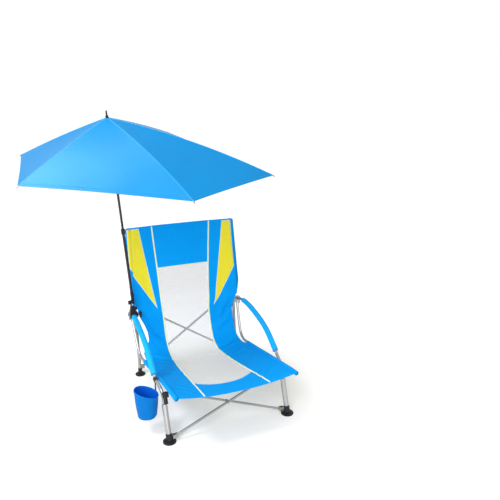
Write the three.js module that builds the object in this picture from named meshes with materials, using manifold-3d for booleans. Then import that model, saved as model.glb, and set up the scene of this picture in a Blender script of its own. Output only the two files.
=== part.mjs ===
// Low beach chair with a clip-on sun umbrella. Millimetres, +Z up, the sitter faces -Y.
import * as THREE from 'three';
import { mergeVertices } from 'three/addons/utils/BufferGeometryUtils.js';
import Module from 'manifold-3d';

const wasm = await Module();
wasm.setup();

// Driving sizes of the chair frame
const postHalf = 250;        // centre line of the chair to each back post
const postRadius = 8;
const postFootY = 305;       // back post where it meets the rear foot
const postTopY = 385;
const postTop = 706;
const footSplay = 10;        // these three lie outside the back posts
const legSplay = 11.5;
const armSplay = 24;
const braceInset = 16;       // brace pins inside the back posts
const frontFootY = -273;
const legRadius = 11;
const legTopY = -221.8;
const armRadius = 7;
const gripRadius = 12.5;
const railRadius = 7;
const frontTipY = -368;      // front end of the seat rail
const pivotHeight = 306;     // hinge of the arm and seat frame on the back post
const legDrop = 166;         // top of the front leg below the hinge
const tipRise = 103;         // front end of the seat rail above the leg top
const braceRadius = 5;
const frontPinHeight = 22;
const frontBraceRise = 38;   // upper end of the front braces above the leg top
const rearPinHeight = 30;
const rearBraceRise = 28;    // upper end of the rear braces above the hinge
const foldedSpan = 150;      // between the brace pins when the chair is folded
const frontFootHalf = postHalf + footSplay;
const legTopHalf = postHalf + legSplay;
const armHalf = postHalf + armSplay;
const braceHalf = postHalf - braceInset;
const legTop = pivotHeight - legDrop;
const frontTip = legTop + tipRise;
const frontBraceTop = legTop + frontBraceRise;
const rearBraceTop = pivotHeight + rearBraceRise;

// Driving sizes of the umbrella; its tilt pivot is placed from post and hinge
const mastAside = 15;
const mastAhead = 43.2;
const mastRise = 78;
const mastLeanSide = -6.4;   // degrees
const mastLeanFront = -17;   // degrees
const mastLength = 903;
const outerPoleTop = 396;
const outerPoleRadius = 6.5;
const innerPoleRadius = 5;
const rimDrop = 170;         // rim of the canopy below its peak
const canopyReach = 520;     // widest rim corner to the right of the mast
const ribCornerShares = [    // rim corners, across and back from the mast
  [-0.625, 0.321],
  [-0.698, -0.177],
  [0.35, -0.842],
  [1, -0.712],
  [0.519, 0.308],
  [-0.038, 0.654],
];
const runnerDrop = 189;      // open runner below the peak
const linkSum = 400;         // closed runner below the rib pivots
const canopyThickness = 1.4;

// Clearances and general values
const gap = 0.35;            // between pieces that touch
const overrun = 4;           // cuts pass their target by this much
const pinRadius = 2.2;
const pinPlay = 0.5;
const tubeSides = 12;
const tubeSteps = 30;
const degree = Math.PI / 180;

const aluminium = { color: 0xc9ccd0, metalness: 0.9, roughness: 0.35 };
const steel = { color: 0xa9adb3, metalness: 0.95, roughness: 0.3 };
const blackPlastic = { color: 0x141517, metalness: 0, roughness: 0.55 };
const blackPaint = { color: 0x191a1c, metalness: 0.3, roughness: 0.4 };
const foam = { color: 0x14b4ff, metalness: 0, roughness: 0.9 };
const slingBlue = { color: 0x0a8ef0, metalness: 0, roughness: 0.85 };
const canopyBlue = { color: 0x0a93ee, metalness: 0, roughness: 0.6 };
const pouchBlue = { color: 0x1173d6, metalness: 0, roughness: 0.8 };

const xAxis = new THREE.Vector3(1, 0, 0);
const yAxis = new THREE.Vector3(0, 1, 0);
const zAxis = new THREE.Vector3(0, 0, 1);
const model = new THREE.Group();

function point(x, y, z) {
  return new THREE.Vector3(x, y, z);
}

// Places a mesh built from a geometry in a parent group
function addPiece(name, geometry, look, parent = model) {
  const mesh = new THREE.Mesh(geometry, new THREE.MeshStandardMaterial(look));
  mesh.name = name;
  parent.add(mesh);
  return mesh;
}

// Turns the triangles outward if a sweep has left them facing in
function faceOut(geometry) {
  geometry.deleteAttribute('normal');
  geometry.deleteAttribute('uv');
  const merged = mergeVertices(geometry);
  const places = merged.getAttribute('position');
  const order = merged.getIndex();
  const corners = [point(0, 0, 0), point(0, 0, 0), point(0, 0, 0)];
  let volume = 0;
  for (let i = 0; i < order.count; i += 3) {
    corners.forEach((corner, k) => corner.fromBufferAttribute(places, order.getX(i + k)));
    volume += corners[0].dot(corners[1].clone().cross(corners[2]));
  }
  if (volume < 0) {
    for (let i = 0; i < order.count; i += 3) {
      const first = order.getX(i);
      order.setX(i, order.getX(i + 1));
      order.setX(i + 1, first);
    }
  }
  merged.computeVertexNormals();
  return merged;
}

function toSolid(geometry) {
  const clean = faceOut(geometry.clone());
  return new wasm.Manifold(new wasm.Mesh({
    numProp: 3,
    vertProperties: new Float32Array(clean.getAttribute('position').array),
    triVerts: new Uint32Array(clean.getIndex().array),
  }));
}

function toGeometry(solid) {
  const mesh = solid.getMesh();
  const geometry = new THREE.BufferGeometry();
  geometry.setAttribute('position', new THREE.BufferAttribute(new Float32Array(mesh.vertProperties), 3));
  geometry.setIndex(new THREE.BufferAttribute(new Uint32Array(mesh.triVerts), 1));
  geometry.computeVertexNormals();
  return geometry;
}

function cut(geometry, tools) {
  return toGeometry(tools.reduce((body, tool) => body.subtract(toSolid(tool)), toSolid(geometry)));
}

function join(geometries) {
  const solids = geometries.map(toSolid);
  return toGeometry(solids.reduce((body, solid) => body.add(solid)));
}

// Straight round bar between two points
function bar(start, end, radius, sides = tubeSides, endRadius = radius) {
  const along = end.clone().sub(start);
  const geometry = new THREE.CylinderGeometry(endRadius, radius, along.length(), sides);
  const turn = new THREE.Quaternion().setFromUnitVectors(yAxis, along.clone().normalize());
  geometry.applyQuaternion(turn);
  const middle = start.clone().add(end).multiplyScalar(0.5);
  geometry.translate(middle.x, middle.y, middle.z);
  return geometry;
}

function block(size, centre) {
  const geometry = new THREE.BoxGeometry(size.x, size.y, size.z);
  geometry.translate(centre.x, centre.y, centre.z);
  return geometry;
}

// A stretch of a longer curve, from one share of its length to another
class Stretch extends THREE.Curve {
  constructor(whole, startShare, endShare) {
    super();
    this.whole = whole;
    this.startShare = startShare;
    this.endShare = endShare;
  }

  getPoint(t, target = new THREE.Vector3()) {
    return target.copy(this.whole.getPointAt(this.startShare + (this.endShare - this.startShare) * t));
  }
}

function ring(radius, sides, Kind) {
  const outline = new Kind();
  for (let i = 0; i < sides; i += 1) {
    const angle = 2 * Math.PI * i / sides;
    if (i === 0) outline.moveTo(radius, 0);
    else outline.lineTo(radius * Math.cos(angle), radius * Math.sin(angle));
  }
  outline.closePath();
  return outline;
}

// Round tube along a curve, solid unless a bore is given
function sweep(curve, radius, steps, boreRadius = 0, sides = tubeSides) {
  const outline = ring(radius, sides, THREE.Shape);
  if (boreRadius > 0) outline.holes.push(ring(boreRadius, sides, THREE.Path));
  return faceOut(new THREE.ExtrudeGeometry(outline, { steps, bevelEnabled: false, extrudePath: curve }));
}

// The same curve on the other side of the chair
function sided(points, side) {
  return new THREE.CatmullRomCurve3(points.map((p) => point(p.x * side, p.y, p.z)), false, 'centripetal');
}

// A turned piece: pairs of radius and height, closed on itself or on the axis
function turned(profile, sides, start, direction) {
  const geometry = new THREE.LatheGeometry(profile.map(([r, h]) => new THREE.Vector2(r, h)), sides);
  geometry.applyQuaternion(new THREE.Quaternion().setFromUnitVectors(yAxis, direction.clone().normalize()));
  geometry.translate(start.x, start.y, start.z);
  return faceOut(geometry);
}

// Back posts, rear feet and front legs
const footBase = 7;
const rearFootRadius = 24;
const frontFootRadius = 27;
const footTaper = 6;
const footSides = 28;
const footCollar = 26;
const collarWall = 2;
const socketFloor = 4;
const postSlope = (postTopY - postFootY) / (postTop - footBase);
const postDirection = point(0, postSlope, 1).normalize();
const behindPost = point(0, postDirection.z, -postDirection.y);

function postAt(height) {
  return point(postHalf, postFootY + (height - footBase) * postSlope, height);
}

function mirrored(place, side) {
  return point(place.x * side, place.y, place.z);
}

function foot(name, discRadius, start, end, tubeRadius) {
  const outer = tubeRadius + collarWall;
  const disc = turned([
    [0, 0],
    [discRadius, 0],
    [discRadius, footBase - footTaper / 2],
    [discRadius - footTaper, footBase],
    [0, footBase],
  ], footSides, point(start.x, start.y, 0), zAxis);
  const direction = end.clone().sub(start).normalize();
  const collarStart = start.clone().addScaledVector(direction, -socketFloor / 2);
  const collar = bar(collarStart, start.clone().addScaledVector(direction, footCollar), outer);
  const socketStart = start.clone().addScaledVector(direction, socketFloor - gap);
  const socketEnd = start.clone().addScaledVector(direction, footCollar + overrun);
  const socket = bar(socketStart, socketEnd, tubeRadius + gap);
  addPiece(name, cut(join([disc, collar]), [socket]), blackPlastic);
}

const frontFoot = point(frontFootHalf, frontFootY, footBase);
const frontLegTop = point(legTopHalf, legTopY, legTop);
const rearFoot = postAt(footBase);
const boltRadius = 3;
const boltHead = 6;
const boltHeadThickness = 3;
const hubLength = 48;
const hubWall = 3.5;
const knuckleInner = postHalf + postRadius + hubWall + gap;
const knuckleWall = 1.5;
const knuckleOuter = armHalf + armRadius + knuckleWall;
const pivot = postAt(pivotHeight);
const mastPivot = point(-postHalf - mastAside, pivot.y - mastAhead, pivotHeight + mastRise);
const bracketCheek = 1.6;
const bracketReach = 9;
const bracketPlay = 1.4;      // room for the slant of the bars
const bracketTall = 16;
const bracketInner = braceRadius + bracketPlay;

function legBase(start, end) {
  return start.clone().addScaledVector(end.clone().sub(start).normalize(), socketFloor);
}

['left', 'right'].forEach((word, index) => {
  const side = index === 0 ? -1 : 1;
  const rearStart = mirrored(rearFoot, side);
  const rearEnd = mirrored(postAt(postTop), side);
  const frontStart = mirrored(frontFoot, side);
  const frontEnd = mirrored(frontLegTop, side);
  const boltPlace = mirrored(pivot, side);
  const boltHole = bar(
    point(side * (postHalf - postRadius - overrun), boltPlace.y, boltPlace.z),
    point(side * (postHalf + postRadius + overrun), boltPlace.y, boltPlace.z),
    boltRadius + gap,
  );
  const post = bar(legBase(rearStart, rearEnd), rearEnd, postRadius);
  addPiece(`${word}_back_post`, cut(post, [boltHole]), aluminium);
  addPiece(`${word}_front_leg`, bar(legBase(frontStart, frontEnd), frontEnd, legRadius), aluminium);
  foot(`${word}_rear_foot`, rearFootRadius, rearStart, rearEnd, postRadius);
  foot(`${word}_front_foot`, frontFootRadius, frontStart, frontEnd, legRadius);
  const headSize = boltHeadThickness;
  const shank = [postHalf - postRadius - gap - headSize, knuckleOuter + gap + headSize];
  const bolt = join([
    bar(
      point(side * shank[0], boltPlace.y, boltPlace.z),
      point(side * shank[1], boltPlace.y, boltPlace.z),
      boltRadius,
    ),
    bar(
      point(side * shank[0], boltPlace.y, boltPlace.z),
      point(side * (shank[0] + headSize), boltPlace.y, boltPlace.z),
      boltHead,
    ),
    bar(
      point(side * (shank[1] - headSize), boltPlace.y, boltPlace.z),
      point(side * shank[1], boltPlace.y, boltPlace.z),
      boltHead,
    ),
  ]);
  addPiece(`${word}_pivot_bolt`, bolt, steel);
});

// Arm tubes, grips, seat rails, knuckles and front hubs
// Their tables hold the place outside the post, the way to the front and the dip, as shares
const armShares = [
  [0.875, 0.016, -0.0341],
  [0.875, 0.0699, -0.1422],
  [0.9167, 0.1501, -0.2646],
  [0.9583, 0.2482, -0.3686],
  [1, 0.4264, -0.4746],
  [1.0417, 0.6118, -0.5033],
  [1.0417, 0.7472, -0.3978],
  [1, 0.8453, -0.279],
  [0.6667, 0.9398, -0.2651],
  [0.4958, 0.9807, -0.1374],
  [0.4792, 0.9986, -0.0106],
];
const railShares = [
  [0.7917, 0.0099, 0.0444],
  [0.7083, 0.03, 0.2537],
  [0.5417, 0.0696, 0.6121],
  [0.4167, 0.1092, 0.8863],
  [0.3333, 0.1573, 0.9765],
  [0.25, 0.2251, 0.9266],
  [0.125, 0.3227, 0.8113],
  [0, 0.672, 0.3775],
  [0, 0.9321, 0.0679],
  [0, 1, 0],
];

// Place on the way from the hinge to a front end, dipping below the straight line by a share of the leg drop
function between(x, depthShare, dipShare, endY, endHeight) {
  const line = pivotHeight + (endHeight - pivotHeight) * depthShare;
  return point(x, pivot.y + (endY - pivot.y) * depthShare, line - legDrop * dipShare);
}

const armPoints = armShares.map(([outShare, depthShare, dipShare]) => (
  between(postHalf + armSplay * outShare, depthShare, dipShare, legTopY, legTop)
));
const railPoints = railShares.map(([outShare, depthShare, dipShare]) => (
  between(postHalf + armSplay * outShare, depthShare, dipShare, frontTipY, frontTip)
));
const gripShares = [0.1301, 0.7717];
const railSleeveShares = [0.345, 0.998];
const knuckleFront = 16;
const knuckleDepth = 10;
const knuckleDrop = 22;
const knuckleRoof = 15;
const knuckleSlant = 18;
const knuckleToe = 4;
const gripSteps = 22;
const hubShift = 5;          // the hub lies inside the arm tube, which stays bare outside
const hubRadius = 10.5;
const earThickness = 11;
const earTall = 22;
const earBite = 1;
const earPlay = 2.5;
const frontLayer = braceRadius + gap;
const rearClear = 6;
const rearLayer = postRadius + braceRadius + rearClear;

// Axis of the front leg and of the tube above it
function legAt(height) {
  const share = (height - footBase) / (legTop - footBase);
  const out = frontFootHalf + (legTopHalf - frontFootHalf) * share;
  return point(out, frontFootY + (legTopY - frontFootY) * share, height);
}

const legDirection = frontLegTop.clone().sub(frontFoot).normalize();

['left', 'right'].forEach((word, index) => {
  const side = index === 0 ? -1 : 1;
  const armCurve = sided(armPoints, side);
  const railCurve = sided(railPoints, side);
  const armTube = sweep(armCurve, armRadius, tubeSteps);
  const railTube = sweep(railCurve, railRadius, tubeSteps);
  addPiece(`${word}_arm_tube`, armTube, aluminium);
  addPiece(`${word}_seat_rail`, railTube, aluminium);
  const gripCurve = new Stretch(armCurve, gripShares[0], gripShares[1]);
  const gripBore = (armRadius + gap) / Math.cos(Math.PI / tubeSides);
  addPiece(`${word}_arm_grip`, sweep(gripCurve, gripRadius, gripSteps, gripBore), foam);

  // Knuckle that holds the rear ends of arm tube and seat rail on the pivot bolt
  const outline = new THREE.Shape();
  outline.moveTo(pivot.y + knuckleDepth, pivotHeight + knuckleDepth);
  outline.lineTo(pivot.y - knuckleFront, pivotHeight + knuckleRoof);
  outline.lineTo(pivot.y - knuckleFront, pivotHeight - knuckleDrop + knuckleDepth);
  outline.lineTo(pivot.y - knuckleSlant, pivotHeight - knuckleDrop);
  outline.lineTo(pivot.y + knuckleToe, pivotHeight - knuckleDrop);
  outline.lineTo(pivot.y + knuckleDepth, pivotHeight - knuckleDepth);
  outline.closePath();
  const knuckleWidth = knuckleOuter - knuckleInner;
  const knuckle = new THREE.ExtrudeGeometry(outline, { depth: knuckleWidth, bevelEnabled: false });
  knuckle.applyMatrix4(new THREE.Matrix4().makeBasis(yAxis, zAxis, xAxis));
  knuckle.translate(side > 0 ? knuckleInner : -knuckleOuter, 0, 0);
  const boltHole = bar(
    point(side * (knuckleInner - overrun), pivot.y, pivot.z),
    point(side * (knuckleOuter + overrun), pivot.y, pivot.z),
    boltRadius + gap,
  );
  const fitArm = sweep(armCurve, armRadius + gap, tubeSteps);
  const fitRail = sweep(railCurve, railRadius + gap, tubeSteps);
  addPiece(`${word}_knuckle`, cut(knuckle, [boltHole, fitArm, fitRail]), aluminium);

  // Hub inside the foot of the arm tube, above the front leg, with an ear for the brace
  const braceLayer = side > 0 ? -frontLayer : frontLayer;
  const hubStart = mirrored(frontLegTop.clone().addScaledVector(legDirection, gap), side);
  const hubEnd = mirrored(frontLegTop.clone().addScaledVector(legDirection, hubLength), side);
  const core = bar(hubStart, hubEnd, hubRadius);
  core.translate(-side * hubShift, 0, 0);
  const earFar = braceHalf + braceRadius + earPlay;
  const earNear = legTopHalf - hubShift;
  const ear = block(
    point(earNear - earFar, earThickness, earTall),
    point(
      side * (earNear + earFar) / 2,
      legAt(frontBraceTop).y + braceLayer - bracketInner - earThickness / 2,
      frontBraceTop - earBite,
    ),
  );
  addPiece(`${word}_front_hub`, cut(join([core, ear]), [fitArm]), blackPlastic);
});

// Braces: each pair crosses at a rivet; a bar is pinned in a bracket at its lower end
const pinHead = 1.2;
const rivetFlange = 2.3;
const rivetHead = 1.6;

function bracket(name, pin, pinAxis, side, webPlace, standoff = 0, pinStart = -pinRadius) {
  const across = point(-side, 0, 0);
  const frame = new THREE.Matrix4().makeBasis(across, pinAxis, across.clone().cross(pinAxis));
  const length = webPlace + bracketReach;
  const pieces = [-1, 1].map((way) => block(
    point(length, bracketCheek, bracketTall),
    point((bracketReach - webPlace) / 2, way * (bracketInner + bracketCheek / 2), 0),
  ));
  pieces.push(block(
    point(bracketCheek, 2 * (bracketInner + bracketCheek), bracketTall),
    point(-webPlace + bracketCheek / 2, 0, 0),
  ));
  const shank = bracketInner + bracketCheek + pinHead;
  [-1, 1].forEach((way) => {
    pieces.push(bar(point(0, way * pinStart, 0), point(0, way * shank, 0), pinRadius));
  });
  if (standoff > 0) {
    pieces.push(block(
      point(bracketCheek * 2, standoff, bracketTall),
      point(-webPlace + bracketCheek, -bracketInner - bracketCheek / 2 - standoff / 2, 0),
    ));
  }
  const geometry = join(pieces);
  geometry.applyMatrix4(frame);
  geometry.translate(pin.x, pin.y, pin.z);
  addPiece(name, faceOut(geometry), steel);
}

// Brace bar from its lower pin to its upper end, with holes for pin and rivet
function brace(name, low, high, pinAxis) {
  const along = high.clone().sub(low).normalize();
  const body = bar(
    low.clone().addScaledVector(along, -braceRadius),
    high.clone().addScaledVector(along, braceRadius),
    braceRadius,
  );
  const middle = low.clone().add(high).multiplyScalar(0.5);
  const holes = [low, middle].map((place) => bar(
    place.clone().addScaledVector(pinAxis, -braceRadius - overrun),
    place.clone().addScaledVector(pinAxis, braceRadius + overrun),
    pinRadius + pinPlay,
  ));
  addPiece(name, cut(body, holes), aluminium);
  return middle;
}

function rivet(name, middle, pinAxis) {
  const reach = 2 * braceRadius + bracketPlay;
  const headRadius = pinRadius + rivetFlange;
  const start = middle.clone().addScaledVector(pinAxis, -reach - rivetHead);
  const end = middle.clone().addScaledVector(pinAxis, reach + rivetHead);
  const geometry = join([
    bar(start, end, pinRadius),
    bar(start, start.clone().addScaledVector(pinAxis, rivetHead), headRadius),
    bar(end.clone().addScaledVector(pinAxis, -rivetHead), end, headRadius),
  ]);
  addPiece(name, geometry, steel);
}

const frontLow = legAt(frontPinHeight).setX(braceHalf);
const frontHigh = legAt(frontBraceTop).setX(braceHalf);
const leftLow = mirrored(frontLow, -1).addScaledVector(yAxis, -frontLayer);
const rightLow = frontLow.clone().addScaledVector(yAxis, frontLayer);
brace('front_brace_a', leftLow, frontHigh.clone().addScaledVector(yAxis, -frontLayer), yAxis);
brace('front_brace_b', rightLow, mirrored(frontHigh, -1).addScaledVector(yAxis, frontLayer), yAxis);
const frontCross = mirrored(frontLow, -1).add(frontHigh).multiplyScalar(0.5);
rivet('front_cross_rivet', frontCross, yAxis);
const frontWeb = frontFootHalf - legRadius - collarWall - gap - braceHalf;
bracket('left_front_bracket', leftLow, yAxis, -1, frontWeb);
bracket('right_front_bracket', rightLow, yAxis, 1, frontWeb);

const rearNear = rearLayer;
const rearFar = rearLayer + 2 * (braceRadius + gap);
const rearPost = postAt(rearPinHeight).setX(braceHalf);
const rearPostHigh = postAt(rearBraceTop).setX(braceHalf);
const rearLeftLow = mirrored(rearPost, -1).addScaledVector(behindPost, rearNear);
const rearRightHigh = rearPostHigh.clone().addScaledVector(behindPost, rearNear);
const rearRightLow = rearPost.clone().addScaledVector(behindPost, rearFar);
const rearLeftHigh = mirrored(rearPostHigh, -1).addScaledVector(behindPost, rearFar);
brace('rear_brace_a', rearLeftLow, rearRightHigh, behindPost);
brace('rear_brace_b', rearRightLow, rearLeftHigh, behindPost);
const rearCross = point(0, 0, 0);
[rearLeftLow, rearRightHigh, rearRightLow, rearLeftHigh].forEach((end) => {
  rearCross.addScaledVector(end, 1 / 4);
});
rivet('rear_cross_rivet', rearCross, behindPost);
const rearWeb = postHalf - braceHalf;
const rearPad = postRadius + collarWall + gap + bracketInner + bracketCheek / 2;
bracket('left_rear_bracket', rearLeftLow, behindPost, -1, rearWeb, rearNear - rearPad);
bracket('right_rear_bracket', rearRightLow, behindPost, 1, rearWeb, rearFar - rearPad, bracketInner);

// Rear hubs: a collar on each back post with an ear beside the brace end
const rearHubHeight = 14;
const hubEarStart = 2;
const hubEarPast = 4;
const hubEarTrim = 4;
['left', 'right'].forEach((word, index) => {
  const side = index === 0 ? -1 : 1;
  const layer = side < 0 ? rearFar : rearNear;
  const centre = mirrored(postAt(rearBraceTop), side);
  const low = centre.clone().addScaledVector(postDirection, -rearHubHeight / 2);
  const high = centre.clone().addScaledVector(postDirection, rearHubHeight / 2);
  const earEnd = layer - bracketInner + earBite;
  const ear = block(
    point(braceRadius + hubEarPast, earEnd - hubEarStart, rearHubHeight - hubEarTrim),
    point(0, (earEnd + hubEarStart) / 2, 0),
  );
  ear.applyMatrix4(new THREE.Matrix4().makeBasis(xAxis, behindPost, postDirection));
  ear.translate(side * (postHalf - postRadius), centre.y, centre.z);
  const collar = bar(low, high, postRadius + hubWall);
  const bore = bar(low.clone().addScaledVector(postDirection, -overrun),
    high.clone().addScaledVector(postDirection, overrun), postRadius + gap);
  addPiece(`${word}_rear_hub`, cut(join([collar, ear]), [bore]), blackPlastic);
});

// Sling: a taut sheet hung between sleeves on the posts and on the seat rails
const sheetThickness = 2.4;
const sleeveWall = 2.4;
const sleeveRise = 41;       // the fabric first wraps the back post this far above the hinge
const splitRise = 6;         // the back and seat lengths of the sling meet here
const pocketPast = 8;        // closed pockets over the post tops
const waistInset = 18;
const waistFlare = 18;
const backSag = 7;
const sagPower = 2.4;
const fabricJoint = 0.5;
const backRows = 14;
const seatRows = 26;
const sheetColumns = 10;
const sleeveStart = pivotHeight + sleeveRise;
const splitHeight = pivotHeight + splitRise;
const slingTop = postTop + pocketPast;

// Closed sheet from a grid of middle-surface points
function sheet(rows, thickness) {
  const across = rows[0].length;
  const down = rows.length;
  const places = [];
  const normals = rows.map((row, j) => row.map((p, i) => {
    const a = rows[j][Math.min(i + 1, across - 1)].clone().sub(rows[j][Math.max(i - 1, 0)]);
    const b = rows[Math.min(j + 1, down - 1)][i].clone().sub(rows[Math.max(j - 1, 0)][i]);
    return a.cross(b).normalize();
  }));
  [1, -1].forEach((way) => {
    rows.forEach((row, j) => row.forEach((p, i) => {
      const q = p.clone().addScaledVector(normals[j][i], way * thickness / 2);
      places.push(q.x, q.y, q.z);
    }));
  });
  const order = [];
  const at = (layer, j, i) => layer * across * down + j * across + i;
  const quad = (a, b, c, d) => order.push(a, b, c, a, c, d);
  for (let j = 0; j < down - 1; j += 1) {
    for (let i = 0; i < across - 1; i += 1) {
      quad(at(0, j, i), at(0, j, i + 1), at(0, j + 1, i + 1), at(0, j + 1, i));
      quad(at(1, j, i), at(1, j + 1, i), at(1, j + 1, i + 1), at(1, j, i + 1));
    }
  }
  for (let i = 0; i < across - 1; i += 1) {
    quad(at(0, 0, i), at(1, 0, i), at(1, 0, i + 1), at(0, 0, i + 1));
    quad(at(0, down - 1, i), at(0, down - 1, i + 1), at(1, down - 1, i + 1), at(1, down - 1, i));
  }
  for (let j = 0; j < down - 1; j += 1) {
    quad(at(0, j, 0), at(0, j + 1, 0), at(1, j + 1, 0), at(1, j, 0));
    quad(at(0, j, across - 1), at(1, j, across - 1), at(1, j + 1, across - 1), at(0, j + 1, across - 1));
  }
  const geometry = new THREE.BufferGeometry();
  geometry.setAttribute('position', new THREE.Float32BufferAttribute(places, 3));
  geometry.setIndex(order);
  return faceOut(geometry);
}

// Rows of sheet points between an edge curve and a centre curve
function sagRows(edge, centre, downCount, acrossCount) {
  const rows = [];
  for (let j = 0; j <= downCount; j += 1) {
    const e = edge.getPoint(j / downCount);
    const c = centre.getPoint(j / downCount);
    const row = [];
    for (let i = 0; i <= acrossCount; i += 1) {
      const u = 2 * i / acrossCount - 1;
      const share = 1 - Math.abs(u) ** sagPower;
      row.push(point(e.x * u, e.y + (c.y - e.y) * share, e.z + (c.z - e.z) * share));
    }
    rows.push(row);
  }
  return rows;
}

const sleeveRadius = postRadius + gap + sleeveWall;
const postInset = postRadius + gap + sleeveWall / 2;
const railInset = railRadius + gap + sleeveWall / 2;

function curveOf(points) {
  return new THREE.CatmullRomCurve3(points, false, 'centripetal');
}

function backPoint(half, height, sag) {
  const place = postAt(height);
  return point(half, place.y + sag, place.z);
}

const backHeightShares = [0, 0.0817, 0.3351, 0.6894, 1];
const backSagShares = [0.15, 0.3, 0.45, 1, 1, 1, 0.3];
const waistShares = [1, 0.944];
const backHeights = [
  splitHeight,
  sleeveStart - waistFlare,
  ...backHeightShares.map((share) => sleeveStart + (slingTop - sleeveStart) * share),
];
const backEdge = curveOf(backHeights.map((height, k) => {
  const inset = k < waistShares.length ? waistInset * waistShares[k] : postInset;
  return backPoint(postHalf - inset, height, 0);
}));
const backCentre = curveOf(backHeights.map((height, k) => backPoint(0, height, backSag * backSagShares[k])));
const backSheet = sheet(sagRows(backEdge, backCentre, backRows, sheetColumns), sheetThickness);
const backSleeves = [-1, 1].map((side) => {
  const low = mirrored(postAt(sleeveStart), side);
  const high = mirrored(postAt(slingTop), side);
  const bore = (postRadius + gap) / Math.cos(Math.PI / tubeSides);
  return sweep(new THREE.LineCurve3(low, high), sleeveRadius, 1, bore);
});
addPiece('sling_back', join([backSheet, ...backSleeves]), slingBlue);

const seatEdgeRail = sided(railPoints, 1);
const railEdgeShares = [0.36, 0.5, 0.64, 0.78, 0.9, 0.995];
const seatEdgeShares = [     // inside the post, the way to the front and the dip
  [0.8889, 0.013, 0.224],
  [0.7778, 0.03, 0.5067],
  [0.7778, 0.0583, 0.761],
  [0.7222, 0.1148, 0.9383],
  [0.6111, 0.211, 0.9561],
];
const seatCentreShares = [   // the way to the front and the dip
  [0.0088, 0.2256],
  [0.0258, 0.5324],
  [0.0569, 0.8218],
  [0.1177, 1.0276],
  [0.2025, 1.0918],
  [0.3241, 1.0035],
  [0.4938, 0.8186],
  [0.6493, 0.615],
  [0.7978, 0.4141],
  [0.9109, 0.2567],
  [0.9915, 0.1538],
];
const railEdge = railEdgeShares.map((share) => {
  const p = seatEdgeRail.getPointAt(share);
  return point(p.x - railInset, p.y, p.z);
});
const seatTop = postAt(splitHeight - fabricJoint - sheetThickness / 4);
const seatEdge = curveOf([
  point(postHalf - waistInset, seatTop.y, seatTop.z),
  ...seatEdgeShares.map(([inShare, depthShare, dipShare]) => (
    between(postHalf - waistInset * inShare, depthShare, dipShare, frontTipY, frontTip)
  )),
  ...railEdge,
]);
const seatCentre = curveOf([
  point(0, seatTop.y + backSag * backSagShares[0], seatTop.z),
  ...seatCentreShares.map(([depthShare, dipShare]) => between(0, depthShare, dipShare, frontTipY, frontTip)),
]);
const seatSheet = sheet(sagRows(seatEdge, seatCentre, seatRows, sheetColumns), sheetThickness);
const seatSleeves = [-1, 1].map((side) => {
  const curve = new Stretch(sided(railPoints, side), railSleeveShares[0], railSleeveShares[1]);
  const bore = (railRadius + gap) / Math.cos(Math.PI / tubeSides);
  return sweep(curve, railRadius + gap + sleeveWall, backRows, bore);
});
addPiece('sling_seat', join([seatSheet, ...seatSleeves]), slingBlue);

// Cup holder: a fabric pouch on a strap round the left arm tube
const cupAside = 48;         // middle of the pouch outside the arm tube
const cupBehind = 49.8;      // and behind the leg top
const cupRimRise = 40;       // its rim above the leg top
const cupHeight = 105;
const cupRimRadius = 51;
const cupBaseRadius = 38;
const cupFoot = 8;
const cupFlare = 3;
const cupWall = 2;
const cupSides = 28;
const cupPlace = point(-armHalf - cupAside, legTopY + cupBehind, legTop + cupRimRise - cupHeight);
const strapWidth = 16;
const strapShare = 0.8121;
const strapWall = 2.2;
addPiece('cup_pouch', turned([
  [0, 0],
  [cupBaseRadius, 0],
  [cupBaseRadius + cupFlare, cupFoot],
  [cupRimRadius, cupHeight],
  [cupRimRadius - cupWall, cupHeight],
  [cupBaseRadius + cupFlare - cupWall, cupFoot + cupWall / 2],
  [cupBaseRadius - cupWall, cupWall],
  [0, cupWall],
], cupSides, cupPlace, zAxis), pouchBlue);

const leftArm = sided(armPoints, -1);
const strapCentre = leftArm.getPointAt(strapShare);
const strapAlong = leftArm.getTangentAt(strapShare).normalize();
const strapStart = strapCentre.clone().addScaledVector(strapAlong, -strapWidth / 2);
const strapEnd = strapCentre.clone().addScaledVector(strapAlong, strapWidth / 2);
const strapRing = bar(strapStart, strapEnd, armRadius + gap + strapWall);
const strapHang = 24;        // the strap lies this far down the side of the pouch
const strapDrop = cupPlace.z + cupHeight - strapHang;
const strapNear = Math.max(Math.abs(strapCentre.y - cupPlace.y) - strapWidth / 2, 0);
const strapReach = Math.sqrt(cupRimRadius ** 2 - strapNear ** 2);
const strapTail = block(
  point(strapWall, strapWidth, strapCentre.z - strapDrop),
  point(cupPlace.x + strapReach + gap + strapWall / 2, strapCentre.y, (strapCentre.z + strapDrop) / 2),
);
const armClear = sweep(leftArm, armRadius + gap, tubeSteps);
addPiece('cup_strap', cut(join([strapRing, strapTail]), [armClear]), blackPlastic);

// Umbrella clamp on the bare end of the left arm tube
const mastUp = point(Math.sin(mastLeanSide * degree), Math.sin(mastLeanFront * degree), 0);
mastUp.z = Math.sqrt(1 - mastUp.lengthSq());
const mastSide = yAxis.clone().cross(mastUp).normalize();
const mastBack = mastUp.clone().cross(mastSide);
const clampY = mastPivot.y;
const clampDepth = 26;
const clampWall = 5;
const clampShare = 0.0556;
const armAtClamp = leftArm.getPointAt(clampShare);
const clampDrop = 12;
const clampTop = mastPivot.z - clampDrop;
const jawThickness = 4;
const jawTravel = 6;
const screwRadius = 3;
const knobRadius = 15;
const knobThickness = 9;
const tiltEar = 5;
const tiltEarRadius = 11;
const tiltGap = 7.8;
const clampOuter = armAtClamp.x - armRadius - gap;
const jawFace = armAtClamp.x + armRadius + gap;
const jawBack = jawFace + jawThickness;
const postClear = 6;          // the upper clamp stays outside the back post
const nutPlay = 1;
const nutWall = 7;
const jawRoof = 1;
const nutRoof = 3;
const shoulderRise = 11;
const flankRise = 8;
const webBite = 2;
const jawEase = 6;
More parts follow.
